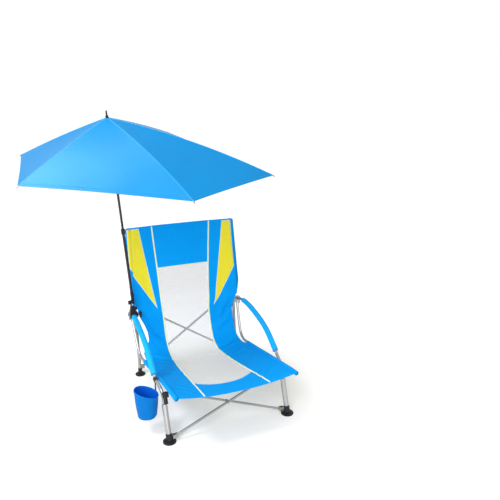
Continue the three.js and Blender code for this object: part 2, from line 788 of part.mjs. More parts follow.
const jawTrim = 2;
const discSides = 20;
const nutInner = jawBack + jawTravel + nutPlay;
const nutOuter = nutInner + nutWall;

const clampOutline = new THREE.Shape();
clampOutline.moveTo(clampOuter - clampWall, armAtClamp.z - armRadius - clampWall);
clampOutline.lineTo(armAtClamp.x, armAtClamp.z - armRadius - clampWall);
clampOutline.lineTo(armAtClamp.x, armAtClamp.z - armRadius - gap);
clampOutline.lineTo(clampOuter, armAtClamp.z - armRadius - gap);
clampOutline.lineTo(clampOuter, armAtClamp.z + armRadius + jawRoof);
clampOutline.lineTo(nutInner, armAtClamp.z + armRadius + jawRoof);
clampOutline.lineTo(nutInner, armAtClamp.z - armRadius);
clampOutline.lineTo(nutOuter, armAtClamp.z - armRadius);
clampOutline.lineTo(nutOuter, armAtClamp.z + armRadius + nutRoof);
clampOutline.lineTo(mastPivot.x + postClear, armAtClamp.z + armRadius + shoulderRise);
clampOutline.lineTo(mastPivot.x + postClear, clampTop - tiltEarRadius);
clampOutline.lineTo(mastPivot.x - tiltGap - tiltEar, clampTop - tiltEarRadius);
clampOutline.lineTo(clampOuter - clampWall, armAtClamp.z + armRadius + flankRise);
clampOutline.closePath();
const clampBlock = new THREE.ExtrudeGeometry(clampOutline, { depth: clampDepth, bevelEnabled: false });
clampBlock.applyMatrix4(new THREE.Matrix4().makeBasis(xAxis, zAxis, yAxis.clone().negate()));
clampBlock.translate(0, clampY + clampDepth / 2, 0);
const earInner = mastPivot.x - tiltGap;
const earOuter = earInner - tiltEar;
const earDisc = bar(point(earInner, clampY, mastPivot.z), point(earOuter, clampY, mastPivot.z), tiltEarRadius,
  discSides);
const earWeb = block(
  point(tiltEar, tiltEarRadius * 2, mastPivot.z - clampTop + tiltEarRadius + webBite),
  point((earInner + earOuter) / 2, clampY, (mastPivot.z + clampTop - tiltEarRadius - webBite) / 2),
);
const tiltBoltHole = bar(
  point(mastPivot.x - tiltGap - tiltEar - overrun, clampY, mastPivot.z),
  point(mastPivot.x + tiltGap + tiltEar + overrun, clampY, mastPivot.z),
  screwRadius + gap,
);
const screwHole = bar(
  point(nutInner - overrun, clampY, armAtClamp.z),
  point(nutOuter + overrun, clampY, armAtClamp.z),
  screwRadius + gap,
);
const clampBody = cut(join([clampBlock, earDisc, earWeb]), [tiltBoltHole, screwHole, armClear]);
addPiece('clamp_body', clampBody, blackPlastic);

const jaw = block(
  point(jawThickness, clampDepth - jawEase, armRadius * 2 - jawTrim),
  point(jawFace + jawThickness / 2, clampY, armAtClamp.z),
);
addPiece('clamp_jaw', cut(jaw, [armClear]), blackPlastic);

// Winged hand knob on a threaded shank
const knobHubShare = 0.6;
const knobLobeShare = 0.42;

function wingKnob(start, direction, shankLength, wingRadius) {
  const faces = start.clone().addScaledVector(direction, shankLength);
  const back = faces.clone().addScaledVector(direction, knobThickness);
  const parts = [
    bar(start, back, screwRadius),
    bar(faces, back, wingRadius * knobHubShare, discSides),
  ];
  const lobe = wingRadius * knobLobeShare;
  for (let k = 0; k < 3; k += 1) {
    const angle = 2 * Math.PI * k / 3 + Math.PI / 6;
    const shift = point(0, Math.cos(angle), Math.sin(angle)).multiplyScalar(wingRadius - lobe);
    parts.push(bar(faces.clone().add(shift), back.clone().add(shift), lobe));
  }
  return join(parts);
}

const screwStart = point(jawBack + gap, clampY, armAtClamp.z);
const knobStandoff = 8;
addPiece('clamp_knob', wingKnob(screwStart, xAxis, nutOuter + knobStandoff - screwStart.x, knobRadius),
  blackPlastic);
const tiltStart = point(mastPivot.x + postClear, clampY, mastPivot.z);
const tiltKnobRadius = 10;
const tiltKnobPlay = 1;
const tiltShank = postClear + tiltGap + tiltEar + tiltKnobPlay;
addPiece('tilt_knob', wingKnob(tiltStart, xAxis.clone().negate(), tiltShank, tiltKnobRadius), blackPlastic);

// Mast: everything from here is built along +Z and leans with the group
const mast = new THREE.Group();
mast.position.copy(mastPivot);
mast.quaternion.setFromRotationMatrix(new THREE.Matrix4().makeBasis(mastSide, mastBack, mastUp));
model.add(mast);

const socketLength = 54;
const socketBase = 12;
const tiltPlay = 2.2;          // the mast leans sideways between the ears
const eyeHalf = tiltGap - tiltPlay;
const socketFootWall = 0.9;
const socketTopWall = 1.6;
const socketFloorDepth = 4;
const eyeEase = 2;
const eyeBite = 7;
const eyePlay = 0.6;
const poleStart = socketBase + socketFloorDepth;
const eye = bar(point(-eyeHalf, 0, 0), point(eyeHalf, 0, 0), tiltEarRadius - eyeEase, discSides);
const eyeBody = join([
  eye,
  bar(point(0, 0, eyeBite), point(0, 0, socketLength), outerPoleRadius + socketFootWall, discSides,
    outerPoleRadius + socketTopWall),
]);
const eyeClear = [-1, 1].map((way) => block(
  point(overrun * 2, tiltEarRadius * 3, tiltEarRadius * 2 + overrun),
  point(way * (eyeHalf + overrun), 0, 0),
));
const eyeHole = bar(point(-tiltGap * 2, 0, 0), point(tiltGap * 2, 0, 0), screwRadius + gap + eyePlay);
const poleSocket = bar(
  point(0, 0, poleStart - gap),
  point(0, 0, socketLength + overrun),
  outerPoleRadius + gap,
);
addPiece('tilt_socket', cut(eyeBody, [...eyeClear, eyeHole, poleSocket]), blackPlastic, mast);

const innerPlay = 0.4;
const poleInsert = 90;
const crownDrop = 14;        // rib pivots below the peak
const ribPivotHeight = mastLength - crownDrop;
addPiece('inner_pole', bar(
  point(0, 0, outerPoleTop - poleInsert),
  point(0, 0, ribPivotHeight),
  innerPoleRadius,
), blackPaint, mast);

// Outer pole with its locking collar and push button
const collarLow = 15;
const collarHigh = 9;
const collarRadius = 9;
const collarTaper = 3;
const collarChamfer = 2;
const buttonAngle = 240 * degree;
const buttonWay = point(Math.cos(buttonAngle), Math.sin(buttonAngle), 0);
const buttonRadius = 2.4;
const buttonSeat = outerPoleRadius + gap;
const buttonProud = 2.6;
const buttonDrop = 4;
const buttonHeight = outerPoleTop - buttonDrop;
const poleBore = innerPoleRadius + innerPlay;
const outerPole = turned([
  [poleBore, poleStart],
  [outerPoleRadius, poleStart],
  [outerPoleRadius, outerPoleTop - collarLow - collarTaper],
  [collarRadius, outerPoleTop - collarLow],
  [collarRadius, outerPoleTop + collarHigh - collarChamfer],
  [collarRadius - collarChamfer, outerPoleTop + collarHigh],
  [poleBore, outerPoleTop + collarHigh],
  [poleBore, poleStart],
], discSides, point(0, 0, 0), zAxis);
const buttonTrack = bar(
  point(0, 0, buttonHeight).addScaledVector(buttonWay, innerPoleRadius),
  point(0, 0, buttonHeight).addScaledVector(buttonWay, collarRadius + overrun),
  buttonRadius + gap,
);
addPiece('outer_pole', cut(outerPole, [buttonTrack]), blackPaint, mast);
addPiece('lock_button', bar(
  point(0, 0, buttonHeight).addScaledVector(buttonWay, buttonSeat + gap),
  point(0, 0, buttonHeight).addScaledVector(buttonWay, collarRadius + buttonProud),
  buttonRadius,
), blackPlastic, mast);

// Crown, finial and runner
const crownRadius = 7;
const ribPivotRadius = 9.2;
const crownSkirt = 8;
const crownShoulder = 6;
const crownTop = 9;
const crownChamfer = 2;
const runnerPivotRadius = 11.4;
const runnerRadius = 9;
const runnerHalf = 13;
const runnerHeight = mastLength - runnerDrop;
addPiece('crown', turned([
  [innerPoleRadius + gap, ribPivotHeight - crownSkirt],
  [crownRadius, ribPivotHeight - crownSkirt],
  [crownRadius, ribPivotHeight + crownShoulder],
  [crownRadius - crownChamfer, ribPivotHeight + crownTop],
  [0, ribPivotHeight + crownTop],
  [0, ribPivotHeight + gap],
  [innerPoleRadius + gap, ribPivotHeight + gap],
  [innerPoleRadius + gap, ribPivotHeight - crownSkirt],
], discSides, point(0, 0, 0), zAxis), blackPlastic, mast);
const finialBase = ribPivotHeight + crownTop + gap;
const finialHeight = 29;
const finialRadius = 6.5;
const finialShares = [[0.677, 0], [1, 0.076], [0.8, 0.241], [0.508, 0.31], [0.4, 0.897], [0, 1]];
addPiece('finial', turned([
  [0, finialBase],
  [finialRadius * finialShares[0][0], finialBase],
  ...finialShares.map(([wideShare, highShare]) => [
    finialRadius * wideShare,
    mastLength + finialHeight * highShare,
  ]),
], discSides, point(0, 0, 0), zAxis), blackPlastic, mast);
const runnerFoot = 4;
const runnerWaist = 3;
const runnerChamfer = 1;
const runnerTaper = 1.5;
addPiece('runner', turned([
  [innerPoleRadius + innerPlay, runnerHeight - runnerHalf],
  [runnerRadius - runnerChamfer, runnerHeight - runnerHalf],
  [runnerRadius, runnerHeight - runnerHalf + runnerFoot],
  [runnerRadius, runnerHeight + runnerWaist],
  [runnerRadius - runnerTaper, runnerHeight + runnerHalf],
  [innerPoleRadius + innerPlay, runnerHeight + runnerHalf],
  [innerPoleRadius + innerPlay, runnerHeight - runnerHalf],
], discSides, point(0, 0, 0), zAxis), blackPlastic, mast);

// Ribs and stretchers: rib length differs, so each pair is sized to close flat
const ribRadius = 1.3;
const ribBead = 1.7;
const ribUnder = 1.6;        // rib ends below the rim of the canopy
const ribSides = 10;
const ribRim = mastLength - rimDrop - ribUnder;
const tipPast = 5;
const linkPlay = 0.8;
const linkOffset = 2 * ribRadius + linkPlay;
const runnerTravel = ribPivotHeight - runnerHeight - linkSum;
const ribCorners = ribCornerShares.map(([acrossShare, backShare]) => [
  canopyReach * acrossShare,
  canopyReach * backShare,
]);
const ribs = ribCorners.map(([across, back]) => {
  const reach = Math.hypot(across, back);
  const out = point(across / reach, back / reach, 0);
  const root = out.clone().multiplyScalar(ribPivotRadius).setZ(ribPivotHeight);
  const corner = out.clone().multiplyScalar(reach).setZ(ribRim);
  const along = corner.clone().sub(root).normalize();
  const tip = corner.addScaledVector(along, tipPast);
  const slope = Math.atan2(-along.z, Math.hypot(along.x, along.y));
  const inward = ribPivotRadius - runnerPivotRadius;
  const drop = ribPivotHeight - runnerHeight;
  const project = inward * Math.cos(slope) - drop * Math.sin(slope);
  const square = inward * inward + drop * drop;
  const joint = (linkSum * linkSum - square) / (2 * (linkSum + project));
  return { out, root, tip, along, slope, joint };
});

// Each stretcher lies on the side of its rib where the next rib is farther away
const ribAngles = ribCorners.map(([across, back]) => Math.atan2(back, across));
const turnOnward = ribAngles.map((angle, k) => {
  const next = ribAngles[(k + 1) % ribAngles.length];
  return next > angle ? next - angle : next - angle + 2 * Math.PI;
});
const linkSides = turnOnward.map((turn, k) => {
  const before = turnOnward[(k + turnOnward.length - 1) % turnOnward.length];
  return turn < before ? -linkOffset : linkOffset;
});

ribs.forEach(({ out, root, tip, along, joint }, k) => {
  const length = tip.distanceTo(root);
  const rib = turned([
    [0, -ribRadius],
    [ribRadius, -ribRadius],
    [ribRadius, length - ribBead],
    [ribBead, length - ribBead / 2],
    [ribBead, length + ribBead / 2],
    [ribRadius, length + ribBead],
    [0, length + ribBead],
  ], ribSides, root, along);
  addPiece(`rib_${k + 1}`, rib, steel, mast);
  const tangent = point(-out.y, out.x, 0);
  const start = root.clone().addScaledVector(along, joint).addScaledVector(tangent, linkSides[k]);
  const end = out.clone().multiplyScalar(runnerPivotRadius).setZ(runnerHeight);
  end.addScaledVector(tangent, linkSides[k]);
  addPiece(`stretcher_${k + 1}`, bar(start, end, ribRadius, ribSides), steel, mast);
});

// Canopy: six gores between the ribs, the rim drawn in slightly between the corners
const canopyPeakRadius = 5.2;
const peakSeat = 1;
const rimLift = 3.2;
const canopyPeak = mastLength - peakSeat;
const canopyRim = mastLength - rimDrop + rimLift;
const rimTuck = 3;
const goreSteps = 6;
const canopyRings = 7;
const goreSlack = 3;

function canopyRow(share) {
  const row = [];
  ribCorners.forEach((corner, k) => {
    const next = ribCorners[(k + 1) % ribCorners.length];
    for (let i = 0; i < goreSteps; i += 1) {
      const t = i / goreSteps;
      const bow = 4 * t * (1 - t);
      const x = corner[0] + (next[0] - corner[0]) * t;
      const y = corner[1] + (next[1] - corner[1]) * t;
      const reach = Math.hypot(x, y);
      const shrink = (reach - rimTuck * bow) / reach;
      const radial = canopyPeakRadius / reach + (shrink - canopyPeakRadius / reach) * share;
      const sag = goreSlack * bow * share * (1 - share) * 4;
      const ridge = canopyPeak + (canopyRim - canopyPeak) * share * (1 + (shrink - 1) * share);
      row.push(point(x * radial, y * radial, ridge - sag));
    }
  });
  return row;
}

function canopySolid() {
  const places = [];
  const order = [];
  const round = ribCorners.length * goreSteps;
  [0, 1].forEach((layer) => {
    for (let j = 0; j <= canopyRings; j += 1) {
      canopyRow(j / canopyRings).forEach((p) => places.push(p.x, p.y, p.z - layer * canopyThickness));
    }
  });
  const at = (layer, j, i) => (layer * (canopyRings + 1) + j) * round + (i % round);
  const quad = (a, b, c, d) => order.push(a, b, c, a, c, d);
  for (let i = 0; i < round; i += 1) {
    for (let j = 0; j < canopyRings; j += 1) {
      quad(at(0, j, i), at(0, j + 1, i), at(0, j + 1, i + 1), at(0, j, i + 1));
      quad(at(1, j, i), at(1, j, i + 1), at(1, j + 1, i + 1), at(1, j + 1, i));
    }
    quad(at(0, 0, i), at(0, 0, i + 1), at(1, 0, i + 1), at(1, 0, i));
    quad(at(0, canopyRings, i), at(1, canopyRings, i), at(1, canopyRings, i + 1), at(0, canopyRings, i + 1));
  }
  const geometry = new THREE.BufferGeometry();
  geometry.setAttribute('position', new THREE.Float32BufferAttribute(places, 3));
  geometry.setIndex(order);
  return faceOut(geometry);
}
addPiece('canopy', canopySolid(), canopyBlue, mast);

// The origin is under the middle of the whole object, on the ground
model.updateMatrixWorld(true);
const extent = new THREE.Box3().setFromObject(model, true);
const middle = extent.getCenter(new THREE.Vector3());
model.position.set(-middle.x, -middle.y, -extent.min.z);

// Pivots and axes of the moving pieces, for whoever animates the chair
model.updateMatrixWorld(true);
const foldAngle = (length) => Math.acos(foldedSpan / length) - Math.acos(2 * braceHalf / length);
const frontLength = Math.hypot(2 * braceHalf, frontBraceTop - frontPinHeight);
const rearRise = (rearBraceTop - rearPinHeight) / postDirection.z;
const rearLength = Math.hypot(2 * braceHalf, rearRise);
const frontFold = foldAngle(frontLength);
const hubReach = Math.hypot(frontHigh.y - pivot.y, frontBraceTop - pivotHeight);
const hubRise = frontLength * (Math.sin(Math.acos(foldedSpan / frontLength))
  - Math.sin(Math.acos(2 * braceHalf / frontLength)));
const armTurn = Math.asin((frontBraceTop + hubRise - pivotHeight) / hubReach)
  - Math.asin((frontBraceTop - pivotHeight) / hubReach);
model.userData.motion = {
  frontFold: frontFold / degree,
  rearFold: foldAngle(rearLength) / degree,
  armTurn: armTurn / degree,
  runnerTravel,
  leftFrontPin: leftLow,
  rightFrontPin: rightLow,
  frontCross,
  leftRearPin: rearLeftLow,
  rearCross,
  rearAxis: behindPost,
  armPivot: pivot,
  mastPivot,
  mastUp,
  mastSide,
  mastBack,
  buttonWay,
  screwStart,
  jawTravel,
  ribs: ribs.map(({ slope, ...rest }) => ({ ...rest, slope: slope / degree })),
  ribPivotHeight,
  runnerHeight,
  runnerPivotRadius,
  linkSum,
  shift: model.position.clone(),
};

export default model;
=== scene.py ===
import math
import bpy
import numpy as np
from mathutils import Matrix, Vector


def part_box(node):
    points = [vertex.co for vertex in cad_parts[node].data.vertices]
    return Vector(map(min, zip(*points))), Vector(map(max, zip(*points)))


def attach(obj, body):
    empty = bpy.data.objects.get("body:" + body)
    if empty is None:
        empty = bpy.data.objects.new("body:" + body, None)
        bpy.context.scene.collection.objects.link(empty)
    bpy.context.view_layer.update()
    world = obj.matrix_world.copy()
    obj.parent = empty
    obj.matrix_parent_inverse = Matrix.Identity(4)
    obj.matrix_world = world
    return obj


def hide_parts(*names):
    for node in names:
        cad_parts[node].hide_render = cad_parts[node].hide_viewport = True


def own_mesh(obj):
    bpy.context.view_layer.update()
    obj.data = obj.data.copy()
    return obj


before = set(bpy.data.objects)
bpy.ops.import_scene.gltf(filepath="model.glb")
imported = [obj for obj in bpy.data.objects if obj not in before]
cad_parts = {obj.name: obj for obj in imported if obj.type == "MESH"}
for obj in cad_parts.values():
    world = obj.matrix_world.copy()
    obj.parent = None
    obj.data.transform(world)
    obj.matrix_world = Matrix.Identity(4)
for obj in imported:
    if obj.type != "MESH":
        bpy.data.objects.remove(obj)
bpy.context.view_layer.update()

print("stage: frame loaded")


# The chair's own centre line and ground point. Places are in millimetres from there

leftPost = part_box("left_back_post")
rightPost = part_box("right_back_post")
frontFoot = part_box("left_front_foot")
feetAhead = 273
chair = {
    "x": (leftPost[0][0] + rightPost[1][0]) / 2,
    "y": (frontFoot[0][1] + frontFoot[1][1]) / 2 + feetAhead / 1000,
}


def place(p):
    return np.array([p[0] / 1000 + chair["x"], p[1] / 1000 + chair["y"], p[2] / 1000])


def addToScene(name, data):
    piece = bpy.data.objects.new(name, data)
    bpy.context.scene.collection.objects.link(piece)
    return piece


# The camera and the lamps stand some way off a spot and look back at it
def standOff(name, data, spot, way, distance):
    holder = addToScene(name, data)
    holder.location = spot + way * distance
    holder.rotation_euler = way.to_track_quat("Z", "Y").to_euler()
    return holder


# Camera, as solved from the photograph

camera = {
    "azimuth": -22.8, "elevation": 17.0, "distance": 2.5995, "lens": 40.98, "sensor": 36.0,
    "across": 0.1854, "height": 0.6591,
}


def makeCamera():
    azimuth = math.radians(camera["azimuth"])
    elevation = math.radians(camera["elevation"])
    back = Vector((
        math.sin(azimuth) * math.cos(elevation),
        -math.cos(azimuth) * math.cos(elevation),
        math.sin(elevation),
    ))
    right = (-back).cross(Vector((0, 0, 1))).normalized()
    up = right.cross(-back)
    target = Vector((chair["x"], chair["y"], 0)) + right * camera["across"] + up * camera["height"]
    data = bpy.data.cameras.new("camera")
    data.lens = camera["lens"]
    data.sensor_width = camera["sensor"]
    data.clip_end = 100
    bpy.context.scene.camera = standOff("camera", data, target, back, camera["distance"])


makeCamera()
bpy.context.scene.view_settings.view_transform = "Standard"
print("stage: camera")


# Shader helper: a socket that takes part in sums

class Wire:
    def __init__(self, paint, socket):
        self.paint = paint
        self.socket = socket

    def __add__(self, other):
        return self.paint.math("ADD", self, other)

    def __sub__(self, other):
        return self.paint.math("SUBTRACT", self, other)

    def __rsub__(self, other):
        return self.paint.math("SUBTRACT", other, self)

    def __mul__(self, other):
        return self.paint.math("MULTIPLY", self, other)

    __radd__ = __add__
    __rmul__ = __mul__

    def other(self, output):  # another output of the same node
        return Wire(self.paint, self.socket.node.outputs[output])

    def sine(self):
        return self.paint.math("SINE", self)

    def size(self):
        return self.paint.math("ABSOLUTE", self)

    def over(self, edge, softness=0.0004):
        return self.paint.node(
            "ShaderNodeMapRange", {"interpolation_type": "LINEAR", "clamp": True},
            {"Value": self, "From Min": edge - softness, "From Max": edge + softness},
        )

    def under(self, edge, softness=0.0004):
        return 1 - self.over(edge, softness)


class Paint:
    def __init__(self, name, world=None):  # a world's nodes are laid in the same way
        self.material = world or bpy.data.materials.new(name)
        self.material.use_nodes = True
        self.tree = self.material.node_tree
        self.tree.nodes.clear()

    def node(self, kind, settings=None, inputs=None, output=0):
        made = self.tree.nodes.new(kind)
        for key, value in (settings or {}).items():
            setattr(made, key, value)
        for key, value in (inputs or {}).items():
            if isinstance(value, Wire):
                self.tree.links.new(value.socket, made.inputs[key])
            else:
                made.inputs[key].default_value = value
        return Wire(self, made.outputs[output]) if made.outputs else None

    def math(self, operation, first, second=None):
        inputs = {0: first}
        if second is not None:
            inputs[1] = second
        return self.node("ShaderNodeMath", {"operation": operation}, inputs)

    def cloth(self, layer="cloth"):
        uv = self.node("ShaderNodeUVMap", {"uv_map": layer})
        across = self.node("ShaderNodeSeparateXYZ", None, {0: uv})
        return across, across.other("Y")

    def spot(self):
        return self.node("ShaderNodeTexCoord", output="Object")

    def noise(self, scale, detail, roughness, stretch=None):
        vector = self.spot()
        if stretch:
            vector = self.node("ShaderNodeMapping", None, {"Vector": vector, "Scale": stretch})
        return self.node("ShaderNodeTexNoise", None, {
            "Vector": vector, "Scale": scale, "Detail": detail, "Roughness": roughness,
        })

    def mix(self, factor, first, second):  # by number, since its colour sockets share their names with others
        return self.node("ShaderNodeMix", {"data_type": "RGBA"}, {0: factor, 6: first, 7: second}, 2)

    def bump(self, height, strength, distance, under=None):
        inputs = {"Height": height, "Strength": strength, "Distance": distance}
        if under:
            inputs["Normal"] = under
        return self.node("ShaderNodeBump", None, inputs)

    def surface(self, inputs, extra=None):
        shader = self.node("ShaderNodeBsdfPrincipled", None, inputs)
        self.node("ShaderNodeOutputMaterial", None, {"Surface": extra(shader) if extra else shader})
        return self.material


def colour(red, green, blue):
    def linear(value):
        share = value / 255
        return share / 12.92 if share <= 0.04045 else ((share + 0.055) / 1.055) ** 2.4
    return (linear(red), linear(green), linear(blue), 1.0)


# Finishes

finish = {
    "clothBlue": colour(0, 164, 244), "clothDeep": colour(0, 146, 230),
    "yellow": colour(244, 232, 62), "yellowDeep": colour(232, 216, 44),
    "trim": colour(250, 252, 205), "trimDeep": colour(222, 226, 160),
    # The palest mesh colour is painted light for the seat's mesh
    "mesh": colour(194, 194, 192), "meshDeep": colour(180, 180, 178), "meshPaintedLight": colour(244, 244, 242),
    "canopyBlue": colour(0, 139, 206), "canopyDeep": colour(0, 122, 188),
    # The pouch blues are darker than the sling's as painted shade for the cup's shaded side, and the lining
    # blues are painted shade inside the cup
    "pouchBlue": colour(0, 128, 208), "pouchDeep": colour(0, 96, 178),
    "liningBlue": colour(0, 104, 222), "liningDeep": colour(0, 88, 196),
    "foam": colour(0, 184, 255), "foamDeep": colour(0, 168, 245),
    "black": (0.012, 0.012, 0.014, 1), "blackWorn": (0.03, 0.03, 0.033, 1),
    "webbingPale": (0.04, 0.04, 0.044, 1),
    "lacquer": (0.014, 0.014, 0.016, 1), "lacquerRubbed": (0.05, 0.05, 0.054, 1),
    "metal": (0.46, 0.46, 0.455, 1), "metalDull": (0.34, 0.34, 0.335, 1),
    "steel": (0.44, 0.422, 0.392, 1), "steelDull": (0.32, 0.308, 0.286, 1),
    # The bar colours are painted shade: a near-black metal for the rear braces behind the mesh
    "bar": (0.15, 0.15, 0.15, 1), "barDull": (0.1, 0.1, 0.1, 1),
}


def weaveHeight(paint, across, along, pitch):
    turn = 2 * math.pi / pitch
    warp = (across * turn).sine()
    weft = (along * turn).sine()
    return warp * weft * 0.5 + 0.5


def stitches(way, pitch):
    return (way * (2 * math.pi / pitch)).sine().over(-0.2, softness=0.2)


plainWeave = 0.0012


def makeCloth(name, dye, rough, creaseScale):
    paint = Paint(name)
    across, along = paint.cloth()
    weave = weaveHeight(paint, across, along, plainWeave)
    shade = paint.noise(scale=14.0, detail=4.0, roughness=0.6)
    body = paint.mix(shade * 0.7 + weave * 0.2, finish[dye + "Blue"], finish[dye + "Deep"])
    fine = paint.noise(creaseScale, detail=2.0, roughness=0.45, stretch=(1.0, 1.0, 0.6))
    broad = paint.noise(creaseScale * 0.4, detail=1.0, roughness=0.4)
    crease = paint.bump(fine * 0.6 + broad * 0.4, strength=0.35, distance=0.006)
    grain = paint.bump(weave, strength=0.25, distance=0.0003, under=crease)
    return paint.surface({
        "Base Color": body, "Roughness": rough, "Normal": grain, "Specular IOR Level": 0.1,
    })


# Sewing pattern of the sling, in metres down from its top edge and aside from its centre line
slingCut = {
    "yellowInner": ((0.0, 0.204), (0.415, 0.145)), "yellowLow": ((0.232, 0.240), (0.415, 0.145)),
    "yellowSide": 0.26, "yellowTop": 0.006, "rightWide": 0.008, "leftShort": 0.06,
    "edgingInner": 0.0025, "edgingLow": 0.0022, "edgingSide": 0.2615, "edgingTop": 0.004,
    "stitchAside": 0.236, "stitchHalf": 0.0007, "stitchPitch": 0.0045,
    "seamAside": 0.2385, "seamHalf": 0.0012, "weave": 0.0011,
}


def cutLine(along, ends):
    (v0, a0), (v1, a1) = ends
    return (along - v0) * ((a1 - a0) / (v1 - v0)) + a0


def makeSlingCloth():
    paint = Paint("slingCloth")
    across, along = paint.cloth()
    side = across.size()
    cut = slingCut
    weave = weaveHeight(paint, across, along, cut["weave"])
    shade = paint.noise(scale=14.0, detail=4.0, roughness=0.6)
    blue = paint.mix(shade * 0.6 + weave * 0.25, finish["clothBlue"], finish["clothDeep"])
    yellow = paint.mix(shade * 0.6 + weave * 0.25, finish["yellow"], finish["yellowDeep"])
    # The left yellow panel is a little shorter than the right one
    reach = along * (1 + across.under(0) * cut["leftShort"])
    inner = side - cutLine(reach, cut["yellowInner"])
    low = cutLine(reach, cut["yellowLow"]) - side
    outer = side + across.over(0) * cut["rightWide"]
    yellowMask = inner.over(0) * low.over(0)
    yellowMask = yellowMask * outer.under(cut["yellowSide"], softness=0.0006) * along.over(cut["yellowTop"])
    edging = inner.over(-cut["edgingInner"]) * low.over(-cut["edgingLow"])
    edging = edging * outer.under(cut["edgingSide"]) * along.over(cut["edgingTop"]) - yellowMask
    body = paint.mix(yellowMask, blue, yellow)
    body = paint.mix(edging * 0.8, body, finish["trim"])
    # Stitches run beside the sleeves
    stitch = stitches(along, cut["stitchPitch"])
    stitchRow = (side - cut["stitchAside"]).size().under(cut["stitchHalf"]) * stitch
    body = paint.mix(stitchRow * 0.5, body, finish["clothDeep"])
    fan = paint.noise(scale=10.0, detail=2.0, roughness=0.5, stretch=(2.4, 0.9, 0.9))
    pull = paint.noise(scale=4.0, detail=1.0, roughness=0.5)
    crease = paint.bump(fan * 0.55 + pull * 0.45, strength=0.5, distance=0.009)
    seam = (side - cut["seamAside"]).size().under(cut["seamHalf"], softness=0.0008)
    sewn = paint.bump(1 - seam, strength=0.5, distance=0.0015, under=crease)
    grain = paint.bump(weave, strength=0.25, distance=0.0003, under=sewn)
    return paint.surface({
        "Base Color": body, "Roughness": 0.74, "Normal": grain, "Specular IOR Level": 0.08,
    })


# The mesh lets light through, and painted light makes it paler in the seat than in the back
meshNet = {"pitch": 0.0024, "thin": 0.2, "thread": 0.26, "paintedLightAt": 0.5, "paintedLightRamp": 0.2, "paintedSeatLight": 0.9}


def makeMesh():
    paint = Paint("meshPanel")
    across, along = paint.cloth()
    turn = 2 * math.pi / meshNet["pitch"]
    threadA = ((across + along) * turn).sine()
    threadB = ((across - along) * turn).sine()
    net = threadA * threadB * 0.5 + 0.5
    shade = paint.noise(scale=5.0, detail=2.0, roughness=0.5)
    body = paint.mix(shade * 0.7 + net * 0.2, finish["mesh"], finish["meshDeep"])
    # Painted light: the mesh is mixed towards a paler colour from the back down into the seat
    paintedSeatLight = along.over(meshNet["paintedLightAt"], meshNet["paintedLightRamp"]) * meshNet["paintedSeatLight"]
    body = paint.mix(paintedSeatLight, body, finish["meshPaintedLight"])
    crease = paint.bump(paint.noise(scale=6.0, detail=1.5, roughness=0.5), strength=0.3, distance=0.006)
    grain = paint.bump(net, strength=0.3, distance=0.0004, under=crease)
    return paint.surface({
        "Base Color": body, "Roughness": 0.8, "Alpha": net * meshNet["thread"] + meshNet["thin"],
        "Normal": grain, "Specular IOR Level": 0.2,
    })


canopyCut = {
    "weave": 0.0007, "seam": 0.0035, "edgeHalf": 0.0007, "hem": 0.012,
    "stitchInset": 0.011, "stitchHalf": 0.0006, "stitchPitch": 0.004,
    "seamColour": colour(70, 190, 255), "through": 0.15, "tint": (0.5, 0.95, 1.0, 1.0),
}


def makeCanopyCloth():
    paint = Paint("canopyCloth")
    across, along = paint.cloth()
    rim = paint.cloth("hem")[0]
    cut = canopyCut
    weave = weaveHeight(paint, across, along, cut["weave"])
    shade = paint.noise(scale=7.0, detail=3.0, roughness=0.55)
    body = paint.mix(shade * 0.6 + weave * 0.2, finish["canopyBlue"], finish["canopyDeep"])
    seam = across.size().under(cut["seam"], softness=0.0006)
    seamEdge = (across.size() - cut["seam"]).size().under(cut["edgeHalf"])
    stitch = stitches(across, cut["stitchPitch"])
    stitchRow = (rim - cut["stitchInset"]).size().under(cut["stitchHalf"]) * stitch
    body = paint.mix(seam * 0.35, body, cut["seamColour"])
    body = paint.mix(stitchRow * 0.5 + seamEdge * 0.3, body, finish["clothDeep"])
    pull = paint.noise(scale=5.0, detail=1.5, roughness=0.45)
    crease = paint.bump(pull, strength=0.28, distance=0.008)
    fold = rim.under(cut["hem"], softness=0.0008) + seam
    hem = paint.bump(fold, strength=0.6, distance=0.001, under=crease)
    grain = paint.bump(weave, strength=0.18, distance=0.0002, under=hem)

    def glow(shader):
        through = paint.node("ShaderNodeBsdfTranslucent", None, {"Color": body})
        return paint.node("ShaderNodeMixShader", None, {0: cut["through"], 1: shader, 2: through})

    return paint.surface({
        "Base Color": body, "Roughness": 0.37, "Normal": grain, "Specular IOR Level": 0.5,
        "Specular Tint": cut["tint"],
    }, glow)


def makeFoam():
    paint = Paint("foamGrip")
    cell = paint.node("ShaderNodeTexVoronoi", None, {"Vector": paint.spot(), "Scale": 900.0})
    shade = paint.noise(scale=30.0, detail=4.0, roughness=0.6)
    body = paint.mix(shade * 0.6 + cell * 0.3, finish["foam"], finish["foamDeep"])
    swell = paint.bump(shade, strength=0.12, distance=0.002)
    skin = paint.bump(cell, strength=0.25, distance=0.0005, under=swell)
    return paint.surface({
        "Base Color": body, "Roughness": 0.62 + shade * 0.15, "Normal": skin, "Specular IOR Level": 0.3,
    })


def makeTube(name, light, dull, rough):
    paint = Paint(name)
    streak = paint.noise(scale=60.0, detail=5.0, roughness=0.6, stretch=(1.0, 1.0, 0.12))
    wear = paint.noise(scale=9.0, detail=4.0, roughness=0.65)
    scratch = paint.noise(scale=420.0, detail=2.0, roughness=0.5, stretch=(0.25, 1.0, 1.0))
    body = paint.mix(wear * 0.7 + streak * 0.3, light, dull)
    drawn = paint.bump(streak, strength=0.05, distance=0.0006)
    grain = paint.bump(scratch, strength=0.08, distance=0.0002, under=drawn)
    return paint.surface({
        "Base Color": body, "Roughness": rough + streak * 0.1 + wear * 0.06, "Metallic": 1.0, "Normal": grain,
    })


